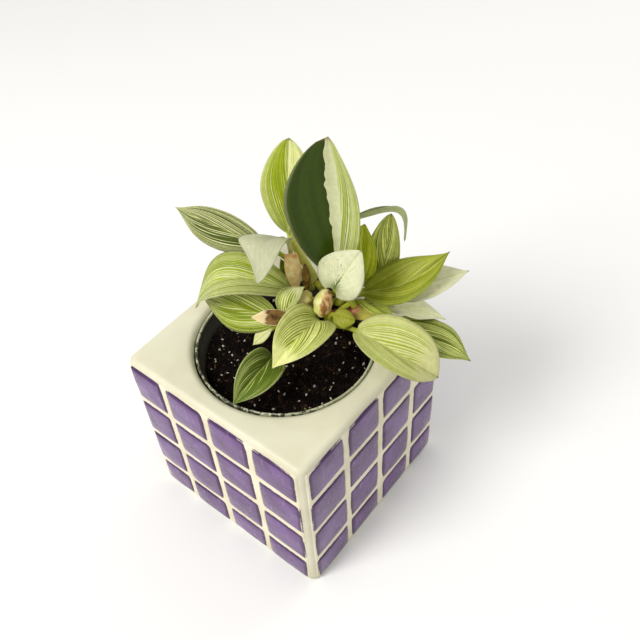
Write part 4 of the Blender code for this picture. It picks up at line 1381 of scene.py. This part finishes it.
def dry_finish(name, dark, light, pale, reach=0.6, seed=0.0):
    """A papery sheath: brown up to a ragged line at reach of its length, pale beyond it and at its edges."""
    made, tree, shader = new_finish(name, 0.6)
    shader.inputs["Specular IOR Level"].default_value = 0.2
    drawn = tree.nodes.new("ShaderNodeGroup")
    drawn.node_tree = leaf_pattern
    for title, value in (("Stripes", 8.0), ("Sweep", 1.5), ("Seed", seed)):
        drawn.inputs[title].default_value = value
    got = drawn.outputs
    streak = object_noise(tree, 0.5, detail=4.0)
    base = blend_colours(tree, ramp_between(tree, streak, 0.35, 0.65), dark, light)
    ragged = maths(tree, "ADD", got["Along"], maths(tree, "MULTIPLY", got["Tone"], 0.3))
    beyond = maths(tree, "MAXIMUM", ramp_between(tree, ragged, reach + 0.11, reach + 0.19),
                   maths(tree, "MULTIPLY", got["Margin"], 0.9))
    colour = blend_colours(tree, beyond, base, pale)
    colour = blend_colours(tree, ramp_between(tree, got["Along"], 0.93, 0.99), colour, dark)
    link(tree, colour, shader.inputs["Base Color"])
    bump_from(tree, shader, streak, 0.3, 0.7)
    return made


leaf(
    "sheath_dry", dry_finish("dry_sheath", srgb(84, 60, 30), srgb(138, 106, 60), srgb(228, 208, 162), 0.58, 3.0),
    slot="dry_sheath", root=(5, 1, 88), base=(3, -0.4, 93.2), tip=(-7, -9, 95), faces=(0.2, -0.6, 0.75),
    left=3.5, right=3.5, fold=34, rise=1, widest=0.36, lobe=0, wave=0.4,
)
leaf(
    "sheath_pink", dry_finish("pink_sheath", srgb(160, 66, 44), srgb(214, 150, 120), srgb(188, 178, 84), 0.35, 7.0),
    slot="dry_sheath", root=(12, 14, 88), base=(18, 16, 92), tip=(27, 20, 92), faces=(0.2, -0.3, 0.9),
    left=4, right=4, fold=20, rise=1, lobe=0, wave=0.4,
)
leaf(
    "sheath_cream", dry_finish("cream_sheath", srgb(238, 204, 134), srgb(248, 228, 168), srgb(226, 160, 96), 0.92, 11.0),
    slot="dry_sheath", root=(0.6, 10.2, 93.5), stalk=0.8, base=(0.2, 8.4, 96.4), tip=(-2.2, 10, 113.6),
    faces=(0.45, -0.6, 0.5), left=3.3, right=3.3, fold=-24, rise=0.5, widest=0.6, point=-0.45, lobe=0,
    wave=0.2,
)
leaf(
    "sheath_brown", dry_finish("brown_sheath", srgb(72, 46, 16), srgb(150, 120, 50), srgb(120, 90, 36), 0.6, 14.0),
    slot="dry_sheath", root=(3.4, 11.2, 94.2), stalk=0.7, base=(3.2, 10.8, 98), tip=(3, 11.2, 110.8),
    faces=(0.45, -0.6, 0.5), left=1.5, right=1.7, fold=-24, rise=0.3, widest=0.45, point=0, lobe=0,
    wave=0.2,
)
leaf(
    "bud_scale", dry_finish("olive_scale", srgb(110, 112, 30), srgb(146, 140, 46), srgb(84, 52, 26), 0.8, 17.0),
    slot="dry_sheath", root=(9, 13.6, 96), stalk=0.7, base=(8.6, 12.6, 99), tip=(9.6, 12.4, 106.2),
    faces=(0.45, -0.6, 0.5), left=3.2, right=2.8, fold=-24, rise=0.6, widest=0.5, point=-0.3, lobe=0,
    wave=0.1,
)
# %% Shoot and stem


def rod(name, finish, path, radii, sides=28, waver=0.0, tip=True):
    """A rod through smoothed points, closed at both ends."""
    path = [np.array(p, float) for p in path]
    fine, widths = [], []
    for k in range(len(path) - 1):
        before, after = path[max(k - 1, 0)], path[min(k + 2, len(path) - 1)]
        for step in range(8):
            t = step / 8
            a, b = path[k], path[k + 1]
            m0, m1 = (b - before) / 2, (after - a) / 2
            h = (2 * t**3 - 3 * t**2 + 1, t**3 - 2 * t**2 + t, 3 * t**2 - 2 * t**3, t**3 - t**2)
            fine.append(h[0] * a + h[1] * m0 + h[2] * b + h[3] * m1)
            smooth_t = t * t * (3 - 2 * t)
            widths.append(radii[k] * (1 - smooth_t) + radii[k + 1] * smooth_t)
    rings = []
    for k, centre in enumerate(fine):
        ahead = unit(fine[min(k + 1, len(fine) - 1)] - fine[max(k - 1, 0)])
        across = unit(np.cross(ahead, (0.0, 1.0, 0.05)))
        above = np.cross(across, ahead)
        ring = []
        for j in range(sides):
            a = 2 * pi * j / sides
            r = widths[k] * (1 + waver * sin(3 * a + 0.7 * k))
            ring.append(centre + r * (across * cos(a) + above * sin(a)))
        rings.append(ring)
    points, faces = joined_rings(rings, fine[0], path[-1])
    return piece_from(name, points, faces, finish)


def shoot_finish():
    """Pale cream green, with the brown paper of an old sheath on the side that looks along +X."""
    made, tree, shader = new_finish("pale_shoot", 0.35, subsurface_weight=0.15)
    shader.inputs["Subsurface Radius"].default_value = (1.0, 1.0, 0.4)
    shader.inputs["Subsurface Scale"].default_value = MM
    cloud = object_noise(tree, 0.25, detail=3.0)
    pale = blend_colours(tree, ramp_between(tree, cloud, 0.35, 0.65), srgb(206, 206, 120), srgb(232, 224, 166))
    place = tree.nodes.new("ShaderNodeTexCoord")
    parts = tree.nodes.new("ShaderNodeSeparateXYZ")
    link(tree, place.outputs["Object"], parts.inputs[0])
    streaks = object_noise(tree, 0.5, detail=3.0, stretch=(1.0, 1.0, 0.4))
    edge = maths(tree, "ADD", parts.outputs[0], maths(tree, "MULTIPLY", streaks, 4.0 * MM))
    paper = ramp_between(tree, edge, 14.2 * MM, 14.6 * MM)
    brown = blend_colours(tree, ramp_between(tree, streaks, 0.4, 0.6), srgb(142, 96, 50), srgb(224, 186, 130))
    link(tree, blend_colours(tree, paper, pale, brown), shader.inputs["Base Color"])
    bump_from(tree, shader, streaks, 0.3, 0.6)
    return made


shoot = rod(
    "shoot_sheath", shoot_finish(),
    [(11.4, 8.9, 92.4), (11.3, 9.2, 95.2), (11.5, 9.8, 98.4), (12.1, 10.8, 101.6), (12.6, 11.4, 103.4)],
    [1.8, 3.2, 3.4, 2.3, 0.3], waver=0.03,
)
settle(shoot, "shoot", "shoot_sheath")
swelling_made, swelling_tree, swelling_shader = new_finish("pale_swelling", 0.45)
swelling_cloud = object_noise(swelling_tree, 0.3, detail=3.0)
link(swelling_tree, blend_colours(swelling_tree, ramp_between(swelling_tree, swelling_cloud, 0.35, 0.65),
                                  srgb(190, 180, 92), srgb(222, 206, 140)), swelling_shader.inputs["Base Color"])
swelling = rod(
    "crown_swelling", swelling_made, [(3.2, 6, 93.5), (3.9, 7.3, 96.5), (5.5, 8.6, 98.6), (6.6, 9.5, 99.6)],
    [1.6, 2.7, 2.2, 0.4], waver=0.03,
)
settle(swelling, "shoot", "crown_swelling")

stem_made, stem_tree, stem_shader = new_finish("stem_green", 0.45)
stem_bands = object_noise(stem_tree, 0.5, detail=4.0, stretch=(0.4, 0.4, 1.6))
link(stem_tree, blend_colours(stem_tree, ramp_between(stem_tree, stem_bands, 0.4, 0.65), srgb(150, 152, 66), srgb(150, 112, 70)),
     stem_shader.inputs["Base Color"])
bump_from(stem_tree, stem_shader, stem_bands, 0.4, 0.7)
stem = rod("stem", stem_made, [(-1, 12, 71.3), (-1, 12, 74.3), (1, 12, 80), (3, 12, 86), (4.5, 12, 90.5), (5.5, 12, 93)],
           [4.2, 3.8, 3.6, 3.4, 3.0, 0.8], waver=0.04)
settle(stem, "stem", "stem")
